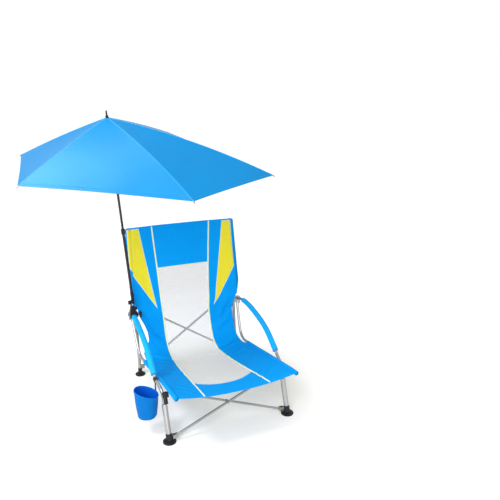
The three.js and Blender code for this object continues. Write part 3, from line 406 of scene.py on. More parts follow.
def makePlastic(name, rough, level):
    paint = Paint(name)
    grain = paint.noise(scale=700.0, detail=2.0, roughness=0.5)
    patch = paint.noise(scale=22.0, detail=4.0, roughness=0.6)
    body = paint.mix(patch.over(0.55, softness=0.12) * 0.5, finish["black"], finish["blackWorn"])
    skin = paint.bump(grain, strength=0.22, distance=0.0003)
    return paint.surface({
        "Base Color": body, "Roughness": rough + patch * 0.12, "Normal": skin, "Specular IOR Level": level,
    })


def makePole():
    paint = Paint("poleLacquer")
    peel = paint.noise(scale=220.0, detail=2.0, roughness=0.5)
    rub = paint.noise(scale=16.0, detail=5.0, roughness=0.7, stretch=(1.0, 1.0, 0.3))
    body = paint.mix(rub.over(0.6, softness=0.1) * 0.4, finish["lacquer"], finish["lacquerRubbed"])
    skin = paint.bump(peel, strength=0.1, distance=0.0003)
    return paint.surface({
        "Base Color": body, "Roughness": 0.3 + rub * 0.15, "Normal": skin,
        "Specular IOR Level": 0.3, "Coat Weight": 0.08, "Coat Roughness": 0.2,
    })


tapeWeave = {"pitch": 0.0016, "slant": 900.0}


def makeTrim():
    paint = Paint("pipingTape")
    across, along = paint.cloth()
    twill = (along * (2 * math.pi / tapeWeave["pitch"]) + across * tapeWeave["slant"]).sine() * 0.5 + 0.5
    body = paint.mix(twill * 0.4, finish["trim"], finish["trimDeep"])
    grain = paint.bump(twill, strength=0.3, distance=0.0003)
    return paint.surface({"Base Color": body, "Roughness": 0.8, "Normal": grain})


def makeWebbing():
    paint = Paint("blackWebbing")
    rib = paint.noise(scale=260.0, detail=2.0, roughness=0.5, stretch=(1.0, 1.0, 4.0))
    body = paint.mix(rib, finish["black"], finish["webbingPale"])
    skin = paint.bump(rib, strength=0.5, distance=0.0006)
    return paint.surface({"Base Color": body, "Roughness": 0.85, "Normal": skin})


paints = {
    "sling": makeSlingCloth(),
    "mesh": makeMesh(),
    "binding": makeCloth("bindingCloth", "cloth", rough=0.75, creaseScale=20.0),
    "canopy": makeCanopyCloth(),
    # Pouch and lining colours carry painted shade
    "pouch": makeCloth("pouchClothPaintedShade", "pouch", rough=0.55, creaseScale=26.0),
    "lining": makeCloth("pouchLiningPaintedShade", "lining", rough=0.75, creaseScale=26.0),
    "foam": makeFoam(),
    "tube": makeTube("satinTube", finish["metal"], finish["metalDull"], rough=0.3),
    "steel": makeTube("brushedSteel", finish["steel"], finish["steelDull"], rough=0.3),
    # The bar finish is painted shade for the rear braces
    "bar": makeTube("shadedCrossBar", finish["bar"], finish["barDull"], rough=0.4),
    "plastic": makePlastic("blackPlastic", rough=0.42, level=0.24),
    "gloss": makePlastic("knobPlastic", rough=0.3, level=0.3),
    "pole": makePole(),
    "trim": makeTrim(),
    "webbing": makeWebbing(),
}


# Finish for each node by a word in its name: the first that fits counts, and the rest is plain plastic
nodePaints = [
    ("foam", ("arm_grip",)),
    ("pole", ("outer_pole", "inner_pole")),
    ("gloss", ("knob", "lock_button")),
    ("steel", ("bracket", "bolt", "rivet", "rib_", "stretcher")),
    # Rear braces take the dark bar finish as painted shade, and front braces the steel one, a little darker
    # than the tubes, as painted shade under the seat
    ("bar", ("rear_brace",)),
    ("steel", ("brace",)),
    ("tube", ("post", "leg", "arm_tube", "seat_rail", "knuckle")),
    ("webbing", ("cup_strap",)),
]


def dressNodes():
    for name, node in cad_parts.items():
        paint = next((paint for paint, words in nodePaints if any(word in name for word in words)), "plastic")
        node.data.materials.clear()
        node.data.materials.append(paints[paint])


dressNodes()
print("stage: finishes")


# Curves and thin shells

curve = {"samples": 400, "step": 0.004}


def unit(way):
    return way / np.maximum(np.linalg.norm(way, axis=-1, keepdims=True), 1e-12)


def lengthsAlong(points):
    return np.concatenate([[0], np.cumsum(np.linalg.norm(np.diff(points, axis=0), axis=1))])


class Path:
    def __init__(self, points):
        self.points = [np.array(p, float) for p in points]
        self.samples = np.array([self.raw(i / curve["samples"]) for i in range(curve["samples"] + 1)])
        self.lengths = lengthsAlong(self.samples)
        self.length = self.lengths[-1]

    def raw(self, t):
        last = len(self.points) - 1
        index = min(int(t * last), last - 1)
        w = t * last - index
        p1, p2 = self.points[index], self.points[index + 1]
        p0 = self.points[index - 1] if index > 0 else p1 + (p1 - p2)
        p3 = self.points[index + 2] if index + 2 <= last else p2 + (p2 - p1)
        d0, d1, d2 = (max(np.linalg.norm(b - a) ** 0.5, 1e-4) for a, b in ((p0, p1), (p1, p2), (p2, p3)))
        t1 = ((p1 - p0) / d0 - (p2 - p0) / (d0 + d1) + (p2 - p1) / d1) * d1
        t2 = ((p2 - p1) / d1 - (p3 - p1) / (d1 + d2) + (p3 - p2) / d2) * d1
        return p1 + t1 * w + (-3 * p1 + 3 * p2 - 2 * t1 - t2) * w ** 2 + (2 * p1 - 2 * p2 + t1 + t2) * w ** 3

    def at(self, share):
        want = share * self.length
        return np.array([np.interp(want, self.lengths, self.samples[:, k]) for k in range(3)])

    def along(self, share):
        step = curve["step"]
        return unit(self.at(min(share + step, 1)) - self.at(max(share - step, 0)))


def addObject(name, mesh, paint):
    mesh.materials.append(paints[paint])
    return addToScene(name, mesh)


def buildMesh(name, vertices, faces, loopNormals, maps):
    mesh = bpy.data.meshes.new(name)
    mesh.from_pydata([tuple(v) for v in vertices], [], faces)
    for layerName, values in maps.items():
        layer = mesh.uv_layers.new(name=layerName)
        layer.data.foreach_set("uv", np.array(values, float).ravel())
    mesh.polygons.foreach_set("use_smooth", [True] * len(faces))
    mesh.normals_split_custom_set([tuple(n) for n in unit(np.array(loopNormals, float))])
    mesh.update()
    return mesh


# Closed thin shell on a grid: normals hold a value for each side of a column, so that a ridge stays crisp
def makeShell(name, grid, normals, maps, thickness, paint, wrap=False):
    rows, columns = grid.shape[:2]
    facing = np.cross(np.gradient(grid, axis=1), np.gradient(grid, axis=0))
    if (facing * normals.mean(axis=2)).sum() < 0:
        order = [0] + list(range(columns - 1, 0, -1)) if wrap else list(range(columns))[::-1]
        grid = grid[:, order]
        normals = normals[:, order, ::-1]
        maps = {key: values[:, ::-1] for key, values in maps.items()}
    thick = np.broadcast_to(np.asarray(thickness, float).reshape(-1, 1, 1) / 2, (rows, 1, 1))
    middle = unit(normals.mean(axis=2))
    layers = np.concatenate([grid + middle * thick, grid - middle * thick])
    vertices = layers.reshape(-1, 3)
    faces, loopNormals = [], []
    loopMaps = {key: [] for key in maps}
    last = columns if wrap else columns - 1

    def corner(layer, j, i):
        return layer * rows * columns + j * columns + i % columns

    def push(spots, edgeWay, lays):
        faces.append([corner(lay, j, i) for (j, i, s), lay in zip(spots, lays)])
        for (j, i, s), lay in zip(spots, lays):
            own = normals[j, i % columns, s] * (1 if lay == 0 else -1)
            loopNormals.append(own if edgeWay is None else edgeWay)
            for key, values in maps.items():
                loopMaps[key].append(values[j, i])

    for j in range(rows - 1):
        for i in range(last):
            spots = [(j, i, 1), (j, i + 1, 0), (j + 1, i + 1, 0), (j + 1, i, 1)]
            push(spots, None, [0] * 4)
            push(spots[::-1], None, [1] * 4)
    for i in range(last):
        for j, sign in ((0, 1), (rows - 1, -1)):
            spots = [(j, i, 1), (j, i, 1), (j, i + 1, 0), (j, i + 1, 0)][::sign]
            way = grid[0, i] - grid[1, i] if j == 0 else grid[-1, i] - grid[-2, i]
            push(spots, way, [0, 1, 1, 0][::sign])
    if not wrap:
        for j in range(rows - 1):
            for i, sign in ((0, -1), (columns - 1, 1)):
                spots = [(j, i, 0), (j, i, 0), (j + 1, i, 0), (j + 1, i, 0)][::sign]
                way = grid[j, 0] - grid[j, 1] if i == 0 else grid[j, -1] - grid[j, -2]
                push(spots, way, [0, 1, 1, 0][::sign])
    mesh = buildMesh(name, vertices, faces, loopNormals, loopMaps)
    return addObject(name, mesh, paint)


def bothSides(normals):  # the same on each side of a column
    return np.repeat(normals[:, :, None, :], 2, axis=2)


def gridNormals(grid):
    return bothSides(unit(np.cross(np.gradient(grid, axis=1), np.gradient(grid, axis=0))))


# Solid cord of cloth or tape along points, flattened against a normal
def makeBead(name, points, ups, half, height, paint, sides=8, taper=0):
    points = np.array(points, float)
    count = len(points)
    tangent = unit(np.gradient(points, axis=0))
    ups = np.broadcast_to(np.asarray(ups, float), points.shape)
    wide = unit(np.cross(tangent, ups))
    high = np.cross(wide, tangent)
    vertices, faces, normals, uvs = [], [], [], []
    lengths = lengthsAlong(points)
    shrink = np.ones(count)
    if taper:
        shrink[0] = shrink[-1] = taper
    for j in range(count):
        for i in range(sides):
            a = 2 * math.pi * i / sides
            offset = wide[j] * half * math.cos(a) + high[j] * height * math.sin(a)
            vertices.append(points[j] + offset * shrink[j])
    for j in range(count - 1):
        for i in range(sides):
            spots = [(j, i), (j + 1, i), (j + 1, i + 1), (j, i + 1)]
            faces.append([a * sides + b % sides for a, b in spots])
            for a, b in spots:
                angle = 2 * math.pi * b / sides
                normals.append(wide[a] * math.cos(angle) / half + high[a] * math.sin(angle) / height)
                uvs.append((half * b / sides * 6, lengths[a]))
    for j, sign in ((0, -1), (count - 1, 1)):
        faces.append([j * sides + i for i in range(sides)][::-sign])
        normals += [tangent[j] * sign] * sides
        uvs += [(0, lengths[j])] * sides
    mesh = buildMesh(name, vertices, faces, normals, {"cloth": uvs})
    return addObject(name, mesh, paint)


def joinPieces(name, pieces):
    bpy.ops.object.select_all(action="DESELECT")
    for piece in pieces:
        piece.select_set(True)
    bpy.context.view_layer.objects.active = pieces[0]
    bpy.ops.object.join()
    pieces[0].name = name
    return pieces[0]


# Sling: one taut cloth from the top of the back to the front of the seat

sling = {
    "footY": 305, "topY": 385, "footZ": 7, "topZ": 706, "cloth": 1.6, "sag": 2.4,
    "postX": 250, "sleeve": 9.6, "railSleeve": 8.7,
    "edge": [(240, 714), (240, 600), (240, 470), (240.4, 377), (240.4, 347), (233, 329), (232, 311.5)],
    "dip": [2, 7, 7, 7, 3, 2, 1],
    "waist": [(234, 330, 268), (236, 318, 220), (236, 298, 176), (237, 258, 143), (239, 190, 134)],
    "rail": [
        (269, 332.2, 298), (267, 318, 262), (263, 290, 200), (260, 262, 152), (258, 228, 134),
        (256, 180, 138), (253, 111, 151), (250, -136, 201), (250, -320, 236), (250, -368, 243),
    ],
    "railShares": [0.36, 0.5, 0.64, 0.78, 0.9, 0.995], "railInset": 8.55, "railSleeveShares": (0.345, 0.998),
    "centre": [
        (0, 333, 268), (0, 321, 216), (0, 299, 166), (0, 256, 128), (0, 196, 112), (0, 110, 119),
        (0, -10, 139), (0, -120, 163), (0, -225, 187), (0, -305, 206), (0, -362, 218),
    ],
    "pipe": [(0, 140), (213, 126), (440, 116), (530, 118), (640, 115), (810, 121), (1070, 130), (1250, 137)],
    "meshTop": 213, "meshLow": 1078, "meshDip": 48,
    "rows": 132, "sideColumns": 14, "midColumns": 20, "meshRows": 60, "frontRows": 16,
    "spread": {
        1: [(200, 0), (262, 2), (290, 8), (320, 22), (347, 27), (470, 20), (560, 16), (714, 9)],
        -1: [
            (143, -20), (176, -38), (210, -38), (245, -25), (290, -2), (311, 3), (347, 6), (470, 7), (714, 4),
        ],
    },
    "spreadAhead": {
        1: [(262, 0), (290, 10), (320, 17), (347, 17), (380, 9.9), (714, 9.9)],
        -1: [(262, 0), (311, 4), (347, 6), (380, 9.9), (714, 9.9)],
    },
    "spreadFrom": 0.45, "spreadBehind": 240, "spreadRamp": 50, "foldEnd": 0.16,
    "sleeveTaper": [(347, 12), (400, 0), (714, 0)], "sleeveCloth": 1.2, "sleeveSides": 20, "sleeveSeam": 0.24,
    "sleeveHeights": (347, 470, 600, 708), "tipShares": (0.35, 0.7, 0.92, 0.995), "tipBlunt": 1.2,
    "seatRun": 30, "rowStep": 0.004, "lineStep": 0.002,
    # Each fold: aside, along, turn in degrees, wave, height, width, length
    "folds": [
        (215, 440, 20, 62, -6.5, 34, 70), (190, 520, 55, 66, 5.6, 34, 80), (175, 650, 68, 54, -5.6, 30, 85),
        (205, 790, 75, 62, 4.2, 38, 90), (-215, 450, -25, 64, -6.5, 36, 70),
        (-195, 545, -52, 60, 5.8, 32, 80),
        (-180, 680, -66, 54, -5.0, 32, 85), (-190, 900, -80, 70, 3.6, 42, 90), (200, 330, 8, 54, 2.6, 36, 80),
        (-200, 320, -10, 54, 2.6, 36, 80), (60, 1170, 62, 20, -2.2, 32, 42), (-30, 1185, 70, 22, 1.8, 30, 55),
        (120, 1185, 52, 18, 1.6, 26, 40), (180, 1120, 40, 38, 3.4, 42, 60),
        (-190, 1130, -48, 38, 3.2, 40, 60), (20, 90, 84, 60, 1.8, 40, 120), (205, 950, 30, 48, 3.0, 44, 70),
    ],
}


def postY(z):
    rise = sling["topZ"] - sling["footZ"]
    return sling["footY"] + (z - sling["footZ"]) * (sling["topY"] - sling["footY"]) / rise


railPath = Path(sling["rail"])
edgePoints = [(x, postY(z), z) for x, z in sling["edge"]] + sling["waist"]
for share in sling["railShares"]:
    spot = railPath.at(share)
    edgePoints.append((spot[0] - sling["railInset"], spot[1], spot[2]))
centrePoints = [(0, postY(z) + dip, z) for (x, z), dip in zip(sling["edge"], sling["dip"])] + sling["centre"]
edgePath = Path(edgePoints)
centrePath = Path(centrePoints)
splitShare = (len(sling["edge"]) - 1) / (len(edgePoints) - 1)


def readTable(table, at):
    return float(np.interp(at, [a for a, v in table], [v for a, v in table]))


# Soft folds: each a short wave across its own line on the cloth
def foldHeight(offset, length):
    height = 0
    for x, along, turn, wave, high, wide, long in sling["folds"]:
        angle = math.radians(turn)
        across = (offset - x) * math.cos(angle) + (length - along) * math.sin(angle)
        onward = (length - along) * math.cos(angle) - (offset - x) * math.sin(angle)
        fade = math.exp(-(across / wide) ** 2 - (onward / long) ** 2)
        height += high * math.cos(2 * math.pi * across / wave) * fade
    return height


# One row across the cloth: it reaches past the posts, most low on the right, and its left waist is cut in
def slingRow(t, offsets):
    e = edgePath.raw(t)
    c = centrePath.raw(t)
    step = sling["rowStep"]
    way = unit(centrePath.raw(min(t + step, 1)) - centrePath.raw(max(t - step, 0)))
    length = np.interp(t, rowShares, rowLengths)
    row = []
    for offset in offsets:
        u = offset / e[0]
        share = 1 - abs(u) ** sling["sag"]
        side = 1 if offset > 0 else -1
        reach = max(abs(u) - sling["spreadFrom"], 0) / (1 - sling["spreadFrom"])
        reach *= min(max((e[1] - sling["spreadBehind"]) / sling["spreadRamp"], 0), 1)
        aside = side * readTable(sling["spread"][side], e[2]) * reach
        ahead = readTable(sling["spreadAhead"][side], e[2]) * reach
        lift = foldHeight(offset, length) * min((1 - abs(u)) / sling["foldEnd"], 1)
        y = e[1] + (c[1] - e[1]) * share - ahead + way[2] * lift
        row.append(place((offset + aside, y, e[2] + (c[2] - e[2]) * share - way[1] * lift)))
    return row


rowShares = np.unique(np.concatenate([np.linspace(0, 1, sling["rows"]), [splitShare]]))
centreSamples = np.array([centrePath.raw(t) for t in rowShares])
rowLengths = lengthsAlong(centreSamples)
rowHalves = np.array([edgePath.raw(t)[0] for t in rowShares])
pipeAt = np.array([readTable(sling["pipe"], length) for length in rowLengths])
splitRow = int(np.argmin(abs(rowShares - splitShare)))
slingParts = (("back", 0, splitRow), ("seat", splitRow, len(rowShares) - 1))
hands = ((-1, "Left"), (1, "Right"))
meshTopRow = int(np.argmin(abs(rowLengths - sling["meshTop"])))
slingPieces = {"back": [], "seat": []}


def addCloth(name, grid, normals, lay, part, paint):
    piece = makeShell(name, grid, normals, {"cloth": lay}, sling["cloth"] / 1000, paint)
    slingPieces[part].append(piece)


# A strip of the sling between two lines that follow the cloth
def cutStrip(name, low, high, columns, part, first, last, paint="sling"):
    grid, lay = [], []
    for j, t in enumerate(rowShares):
        offsets = np.linspace(low[j], high[j], columns)
        grid.append(slingRow(t, offsets))
        lay.append([(offset / 1000, rowLengths[j] / 1000) for offset in offsets])
    grid = np.array(grid)
    rows = slice(first, last + 1)
    addCloth(name, grid[rows], gridNormals(grid)[rows], np.array(lay)[rows], part, paint)


def makeSling():
    aside, middle = sling["sideColumns"], sling["midColumns"]
    for part, first, last in slingParts:
        cutStrip("slingLeft", -rowHalves, -pipeAt, aside, part, first, last)
        cutStrip("slingRight", pipeAt, rowHalves, aside, part, first, last)
    cutStrip("slingHead", -pipeAt, pipeAt, middle, "back", 0, meshTopRow)
    cutStrip("meshBack", -pipeAt, pipeAt, middle, "back", meshTopRow, splitRow, "mesh")
    # The seat's mesh ends on a curve, so its last rows bend towards the front
    for name, paint, rows in (("meshSeat", "mesh", "meshRows"), ("slingFront", "sling", "frontRows")):
        count = sling[rows]
        grid, lay = [], []
        for j in range(count + 1):
            row, spots = [], []
            for i in range(middle):
                x = -1 + 2 * i / (middle - 1)
                edgeLine = sling["meshLow"] + sling["meshDip"] * (1 - x * x)
                start = rowLengths[splitRow] if paint == "mesh" else edgeLine
                end = edgeLine if paint == "mesh" else rowLengths[-1]
                length = start + (end - start) * j / count
                t = np.interp(length, rowLengths, rowShares)
                offset = x * np.interp(length, rowLengths, pipeAt)
                row.append(slingRow(t, [offset])[0])
                spots.append((offset / 1000, length / 1000))
            grid.append(row)
            lay.append(spots)
        grid = np.array(grid)
        addCloth(name, grid, gridNormals(grid), np.array(lay), "seat", paint)


makeSling()


# Sleeves round the posts and rails, closed at their far ends and loose where the cloth reaches past the post
def makeSleeve(name, path, shares, radius, lengths, count, side):
    grid, lay = [], []
    sides = sling["sleeveSides"]
    stations = [(shares[0] + (shares[1] - shares[0]) * j / count, 1.0) for j in range(count + 1)]
    tip = radius / path.length / sling["tipBlunt"]
    stations += [(shares[1] + tip * a, math.sqrt(1 - a * a)) for a in sling["tipShares"]]
    for j, (share, scale) in enumerate(stations):
        spot = path.at(min(share, 1.0))
        way = path.along(min(share, 1.0))
        spot = spot + way * max(share - 1.0, 0) * path.length
        inward = np.array([-1.0, 0, 0])
        inward = unit(inward - way * inward.dot(way))
        loose = 0
        if path is postPath:
            spread = readTable(sling["spread"][side], spot[2])
            loose = max(spread - readTable(sling["sleeveTaper"], spot[2]), 0)
        front = np.cross(inward, way)
        if front[2] - front[1] < 0:
            front = -front
        row, spots = [], []
        for i in range(sides + 1):
            a = 2 * math.pi * i / sides
            offset = inward * math.cos(a) + front * math.sin(a)
            p = spot + offset * radius * scale
            p[0] += loose * scale * (0.5 - 0.5 * math.cos(a))
            row.append(place((p[0] * side, p[1], p[2])))
            spots.append(((sling["sleeveSeam"] + radius * a / 1000) * side, float(lengths(p)) / 1000))
        grid.append(row)
        lay.append(spots)
    grid = np.array(grid)
    closed = grid[:, :-1]
    normals = bothSides(unit(closed - closed.mean(axis=1)[:, None, :]))
    maps = {"cloth": np.array(lay)}
    return makeShell(name, closed, normals, maps, sling["sleeveCloth"] / 1000, "sling", True)


postPath = Path([(sling["postX"], postY(z), z) for z in sling["sleeveHeights"]])
seatRows = slice(splitRow + sling["seatRun"], None)  # from here on the seat runs forwards only


def backLengths(p):
    return np.interp(-p[2], -centreSamples[:splitRow, 2], rowLengths[:splitRow])


def seatLengths(p):
    return np.interp(-p[1], -centreSamples[seatRows, 1], rowLengths[seatRows])


for side, word in hands:
    slingPieces["back"].append(makeSleeve(
        "backSleeve" + word, postPath, (0, 1), sling["sleeve"], backLengths, 30, side))
    slingPieces["seat"].append(makeSleeve(
        "seatSleeve" + word, railPath, sling["railSleeveShares"], sling["railSleeve"], seatLengths, 40, side))


# Piping tape and hems: half width, half height and lift off the cloth in metres
trimLines = {
    "tape": (0.0034, 0.0013, 0.0009), "waistHem": (0.0032, 0.0016, 0.0), "endHem": (0.0036, 0.0017),
    "meshTape": (0.0018, 0.0009, 0.0008), "endSteps": 40, "meshSteps": 30,
    "hemInset": 1.0,  # in millimetres, from the cloth's edge
}
tapes = {"back": [], "seat": []}
hems = {"back": [], "seat": []}


def slingLine(offsets, first, last, lift):
    points, ups = [], []
    for j in range(first, last + 1):
        t = rowShares[j]
        a, b, c = slingRow(t, [offsets[j] - 1, offsets[j], offsets[j] + 1])
        step = sling["lineStep"]
        d = slingRow(min(t + step, 1), [offsets[j]])[0] - slingRow(max(t - step, 0), [offsets[j]])[0]
        up = unit(np.cross(d, c - a))
        points.append(b + up * lift)
        ups.append(up)
    return points, ups


def addLines(name, pieces, parts, asides, paint):
    half, high, lift = trimLines[name]
    for part, first, last in parts:
        for side, word in hands:
            points, ups = slingLine(asides * side, first, last, lift)
            pieces[part].append(makeBead(name + word, points, ups, half, high, paint))


def addTapes():
    addLines("tape", tapes, slingParts, pipeAt, "trim")
    freeEnd = int(np.argmin(abs(rowLengths - backLengths((0, 0, sling["sleeveHeights"][0])))))
    railStart = int(np.argmin(abs(rowLengths - seatLengths(railPath.at(sling["railSleeveShares"][0])))))
    waist = (("back", freeEnd, splitRow), ("seat", splitRow, railStart))
    addLines("waistHem", hems, waist, rowHalves - trimLines["hemInset"], "binding")
    for part, row in (("back", 0), ("seat", len(rowShares) - 1)):
        t = rowShares[row]
        offsets = np.linspace(-rowHalves[row], rowHalves[row], trimLines["endSteps"])
        points = slingRow(t, offsets)
        near = rowShares[1] if row == 0 else rowShares[-2]
        inner = slingRow(near, offsets)
        ups = np.cross(np.gradient(np.array(points), axis=0), np.array(inner) - np.array(points))
        hems[part].append(makeBead("endHem", points, ups, *trimLines["endHem"], "binding"))
    t = rowShares[meshTopRow]
    offsets = np.linspace(-pipeAt[meshTopRow], pipeAt[meshTopRow], trimLines["meshSteps"])
    points = np.array(slingRow(t, offsets))
    down = np.array(slingRow(rowShares[meshTopRow + 1], offsets)) - points
    ups = unit(np.cross(down, np.gradient(points, axis=0)))
    half, high, lift = trimLines["meshTape"]
    tapes["back"].append(makeBead("meshTape", points + ups * lift, ups, half, high, "trim"))


addTapes()

slingBodies = {"back": "left_frame", "seat": "left_arm_frame"}
slingNodes = {"back": "sling_back", "seat": "sling_seat"}
foldAnchor = place((-sling["postX"], 0, 0))
for part in ("back", "seat"):
    meshes = [p for p in slingPieces[part] if p.name.startswith("mesh")]
    cloths = [p for p in slingPieces[part] if not p.name.startswith("mesh")]
    pieces = {
        part + "Cloth": cloths, part + "Mesh": meshes, part + "Tape": tapes[part], part + "Hem": hems[part],
    }
    for name, members in pieces.items():
        piece = joinPieces(name, members)
        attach(piece, slingBodies[part])
        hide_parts(slingNodes[part])
        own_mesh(piece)
print("stage: sling")


# Canopy: six petals, one on each rib, so that the cloth follows the ribs when it closes

mast = {
    "pivot": (-265, 296, 384), "leanSide": -6.4, "leanFront": -17,
    "corners": [(-325, 167), (-363, -92), (182, -438), (520, -370), (270, 160), (-20, 340)],
    "bows": [6, 6, 20, 22, 5, 2], "peakRadius": 5.2, "peak": 902, "rim": 736.2, "tuck": 3, "slack": 3,
    "rootRadius": 9.2, "rootHeight": 889, "rows": 26, "columns": 12, "cloth": 1.0,
    "normalFrom": 0.02, "normalStep": 0.004,
}
mastUp = np.array([math.sin(math.radians(mast["leanSide"])), math.sin(math.radians(mast["leanFront"])), 0])
mastUp[2] = math.sqrt(1 - mastUp.dot(mastUp))
mastSide = unit(np.cross([0, 1, 0], mastUp))
mastBack = np.cross(mastUp, mastSide)


def onMast(p):
    return place(np.array(mast["pivot"]) + mastSide * p[0] + mastBack * p[1] + mastUp * p[2])


def canopySpot(k, t, s):
    a = np.array(mast["corners"][k], float)
    b = np.array(mast["corners"][(k + 1) % 6], float)
    bow = 4 * t * (1 - t)
    spot = a + (b - a) * t
    reach = np.linalg.norm(spot)
    shrink = (reach - mast["tuck"] * bow) / reach
    radial = mast["peakRadius"] / reach + (shrink - mast["peakRadius"] / reach) * s
    sag = mast["slack"] * bow * s * (1 - s) * 4
    arch = (mast["bows"][k] * (1 - t) + mast["bows"][(k + 1) % 6] * t) * 4 * s * (1 - s)
    height = mast["peak"] + (mast["rim"] - mast["peak"]) * s * (1 + (shrink - 1) * s)
    return onMast((spot[0] * radial, spot[1] * radial, height - sag + arch))


def canopyNormal(k, t, s):
    s = max(s, mast["normalFrom"])
    step = mast["normalStep"]
    across = canopySpot(k, t + step, s) - canopySpot(k, t - step, s)
    down = canopySpot(k, t, s + step) - canopySpot(k, t, s - step)
    return unit(np.cross(down, across))


def makePetal(k):
    rows, columns = mast["rows"], mast["columns"]
    grid, normals, cloth, rim = [], [], [], []
    for j in range(rows + 1):
        s = j / rows
        middle = canopySpot(k, 0, s)
        down = np.linalg.norm(middle - canopySpot(k, 0, 0))
        line, lineNormals, lineCloth, lineRim = [], [], [], []
        for i in range(-columns, columns + 1):
            gore, t = (k, 0.5 * i / columns) if i >= 0 else ((k - 1) % 6, 1 + 0.5 * i / columns)
            p = canopySpot(gore, t, s)
            edge = canopySpot(gore, t, 1)
            line.append(p)
            own = canopyNormal(gore, t, s)
            lineNormals.append([canopyNormal((k - 1) % 6, 1, s) if i == 0 else own, own])
            away = np.linalg.norm(p - middle) * (1 if i >= 0 else -1)
            lineCloth.append((away, down))
            lineRim.append((np.linalg.norm(edge - p), 0))
        grid.append(line)
        normals.append(lineNormals)
        cloth.append(lineCloth)
        rim.append(lineRim)
    thickness = [mast["cloth"] / 1000] * rows + [mast["cloth"] * 2 / 1000]  # the hem is double
    maps = {"cloth": np.array(cloth), "hem": np.array(rim)}
    piece = makeShell(f"petal{k + 1}", np.array(grid), np.array(normals), maps, thickness, "canopy")
    out = unit(np.array(mast["corners"][k]))
    tangent = mastBack * out[0] - mastSide * out[1]
    root = onMast((out[0] * mast["rootRadius"], out[1] * mast["rootRadius"], mast["rootHeight"]))
    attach(piece, f"rib_body_{k + 1}")
    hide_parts("canopy")
    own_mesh(piece)
    return piece


petals = [makePetal(k) for k in range(6)]

ribCap = {
    "from": 0.992, "upAt": 0.98, "drop": 0.0012, "half": 0.0032, "high": 0.0024, "sides": 10, "taper": 0.5,
    "stations": (0.0, 0.002, 0.007, 0.0095, 0.011),
}


# Rim caps that hold the corners of the canopy on the rib ends
def makeCap(k):
    start = canopySpot(k, 0, ribCap["from"])
    end = canopySpot(k, 0, 1)
    way = unit(end - start)
    up = canopyNormal(k, 0, ribCap["upAt"])
    points = [start + way * d - up * ribCap["drop"] for d in ribCap["stations"]]
    piece = makeBead(f"ribCap{k + 1}", points, up, ribCap["half"], ribCap["high"], "steel", ribCap["sides"],
                     ribCap["taper"])
    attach(piece, f"rib_body_{k + 1}")
    return piece


for k in range(6):
    makeCap(k)
print("stage: canopy")


# Cup pouch: cloth on a stiff ring, pinched towards its strap

cup = {
    "place": (-322, -172, 75), "height": 105, "rim": 51, "base": 38, "wall": 1.6, "rows": 26, "sides": 48,
    "pinch": 3.0, "pinchTurn": 0.7, "belly": 1.6, "lean": 0.36, "ripple": 0.5,
    "footShare": 0.06, "footRound": 5, "girth": 0.29, "outerInset": 1.0, "liningInset": 2.3, "lining": 0.6,
    "floorHeight": 2.0, "floorShares": (1.0, 0.7, 0.4, 0.1), "floorAt": 0.03,
}


def cupSpot(i, share, inset):
    angle = 2 * math.pi * i / cup["sides"]
    radius = cup["base"] + (cup["rim"] - cup["base"]) * share + cup["belly"] * math.sin(math.pi * share)
    foot = min(share / cup["footShare"], 1.0)
    radius -= cup["footRound"] * (1 - math.sqrt(1 - (1 - foot) ** 2))
    radius -= inset + cup["pinch"] * share * (0.5 + 0.5 * math.cos(2 * angle + cup["pinchTurn"])) ** 2
    radius += cup["ripple"] * math.sin(5 * angle + 2) * (1 - share)
    x, y, z = cup["place"]
    lean = cup["lean"] * share ** 2 * radius * math.cos(angle)
    return (x + radius * math.cos(angle), y + radius * math.sin(angle), z + share * cup["height"] - lean)


def pouchWall(name, inset, wall, paint):
    grid, lay = [], []
    for j in range(cup["rows"] + 1):
        share = j / cup["rows"]
        grid.append([place(cupSpot(i, share, inset)) for i in range(cup["sides"])])
        up = share * cup["height"] / 1000
        lay.append([(cup["girth"] * i / cup["sides"], up) for i in range(cup["sides"] + 1)])
    grid = np.array(grid)
    ringed = np.concatenate([grid[:, -1:], grid, grid[:, :1]], axis=1)
    normals = -gridNormals(ringed)[:, 1:-1]
    maps = {"cloth": np.array(lay)[::-1]}
    return makeShell(name, grid[::-1], normals[::-1], maps, wall / 1000, paint, True)


def makePouch():
    wall = pouchWall("pouchWall", cup["outerInset"], cup["wall"], "pouch")
    x, y, z = cup["place"]
    floor = []
    for share in cup["floorShares"]:
        row = []
        for i in range(cup["sides"]):
            p = cupSpot(i, cup["floorAt"], cup["outerInset"])
            row.append(place((
                x + (p[0] - x) * share, y + (p[1] - y) * share, z + cup["floorHeight"] - share)))
        floor.append(row)
    floor = np.array(floor)
    down = np.zeros(floor.shape)
    down[:, :, 2] = -1
    maps = {"cloth": np.zeros((len(floor), cup["sides"] + 1, 2))}
    base = makeShell("pouchBase", floor, bothSides(down), maps, cup["wall"] / 1000, "pouch", True)
    return joinPieces("cupPouch", [wall, base])


def pouchRing(name, share, half, high, inset):
    points = np.array([place(cupSpot(i, share, inset)) for i in range(cup["sides"] + 1)])
    return makeBead(name, points, unit(points - points.mean(axis=0)), half, high, "pouch")


pouch = makePouch()
# The lining's darker blue is painted shade inside the cup
lining = pouchWall("pouchLiningPaintedShade", cup["liningInset"], cup["lining"], "lining")
rimBand = pouchRing("pouchRim", share=0.985, half=0.0042, high=0.0013, inset=0.4)
baseBand = pouchRing("pouchFoot", share=0.05, half=0.0016, high=0.0011, inset=0.6)
for piece in (pouch, lining, rimBand, baseBand):
    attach(piece, "left_arm_frame")
    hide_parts("cup_pouch")
print("stage: pouch")


# Floor, lamps and surroundings

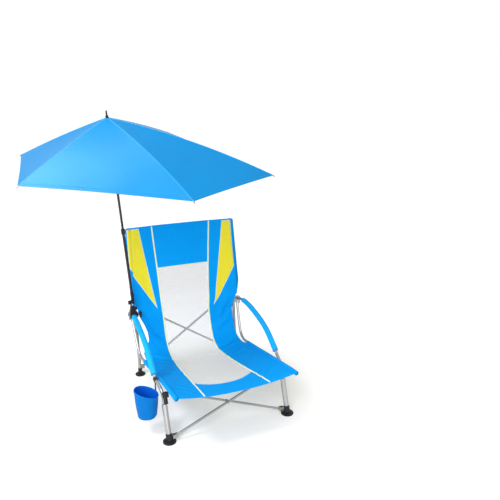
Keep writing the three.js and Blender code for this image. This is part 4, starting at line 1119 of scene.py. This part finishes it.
studio = {
    "floorSide": 40.0, "floorColour": (0.8, 0.8, 0.8, 1), "world": 0.58, "lampAim": 0.6,
    # The floor's glow is painted light: warm near the chair, and bright farther off to wash out the canopy's
    # shadow
    "nearLift": (0.22, 0.185, 0.09, 1), "farLift": (0.6, 0.6, 0.6, 1), "near": 0.25, "far": 0.75,
    # Each lamp: name, way from the chair, distance, size, power
    "lamps": [
        ("frontLamp", (-0.46, -0.82, 0.42), 3.0, 2.0, 68.0),
        ("leftLamp", (-0.66, -0.05, 0.75), 3.0, 0.8, 42.0),
    ],
}


# White where the camera looks past the chair, with the chair's own shadow kept. Its glow is painted light:
# dim and warm near the chair, so that the shadow there stays grey without a blue tint, and bright farther
# off, where it washes out the canopy's shadow
def makeFloor():
    paint = Paint("floorPaint")
    rays = paint.node("ShaderNodeLightPath", output="Is Camera Ray")
    seen = paint.math("MAXIMUM", rays, rays.other("Is Glossy Ray"))
    away = paint.node("ShaderNodeVectorMath", {"operation": "DISTANCE"}, {
        0: paint.spot(), 1: (chair["x"], chair["y"], 0),
    }, "Value")
    share = paint.node("ShaderNodeMapRange", {"interpolation_type": "SMOOTHSTEP"}, {
        "Value": away, "From Min": studio["near"], "From Max": studio["far"],
    })
    lift = paint.mix(share, studio["nearLift"], studio["farLift"])
    paint.surface({
        "Base Color": studio["floorColour"], "Roughness": 0.9, "Specular IOR Level": 0.0,
        "Emission Color": paint.mix(seen, (0, 0, 0, 1), lift), "Emission Strength": 1.0,
    })
    half = studio["floorSide"] / 2
    corners = [(-half, -half, 0), (half, -half, 0), (half, half, 0), (-half, half, 0)]
    mesh = bpy.data.meshes.new("floor")
    mesh.from_pydata(corners, [], [(0, 1, 2, 3)])
    mesh.materials.append(paint.material)
    floor = addToScene("floor", mesh)


def makeWorld():
    world = bpy.data.worlds.new("studio")
    bpy.context.scene.world = world
    paint = Paint("studio", world)
    rays = paint.node("ShaderNodeLightPath", output="Is Camera Ray")
    clear = paint.math("MAXIMUM", rays.other("Is Glossy Ray"), rays.other("Is Transmission Ray"))
    level = paint.node("ShaderNodeMapRange", None, {
        "Value": paint.math("MAXIMUM", rays, clear), "To Min": studio["world"], "To Max": 1.0,
    })
    shine = paint.node("ShaderNodeBackground", None, {"Color": (1, 1, 1, 1), "Strength": level})
    paint.node("ShaderNodeOutputWorld", None, {"Surface": shine})


def makeLamps():
    aim = Vector((chair["x"], chair["y"], studio["lampAim"]))
    for name, way, distance, size, power in studio["lamps"]:
        lamp = bpy.data.lights.new(name, "AREA")
        lamp.size = size
        lamp.energy = power
        standOff(name, lamp, aim, Vector(way).normalized(), distance)


makeFloor()
makeWorld()
makeLamps()
print("stage: studio")
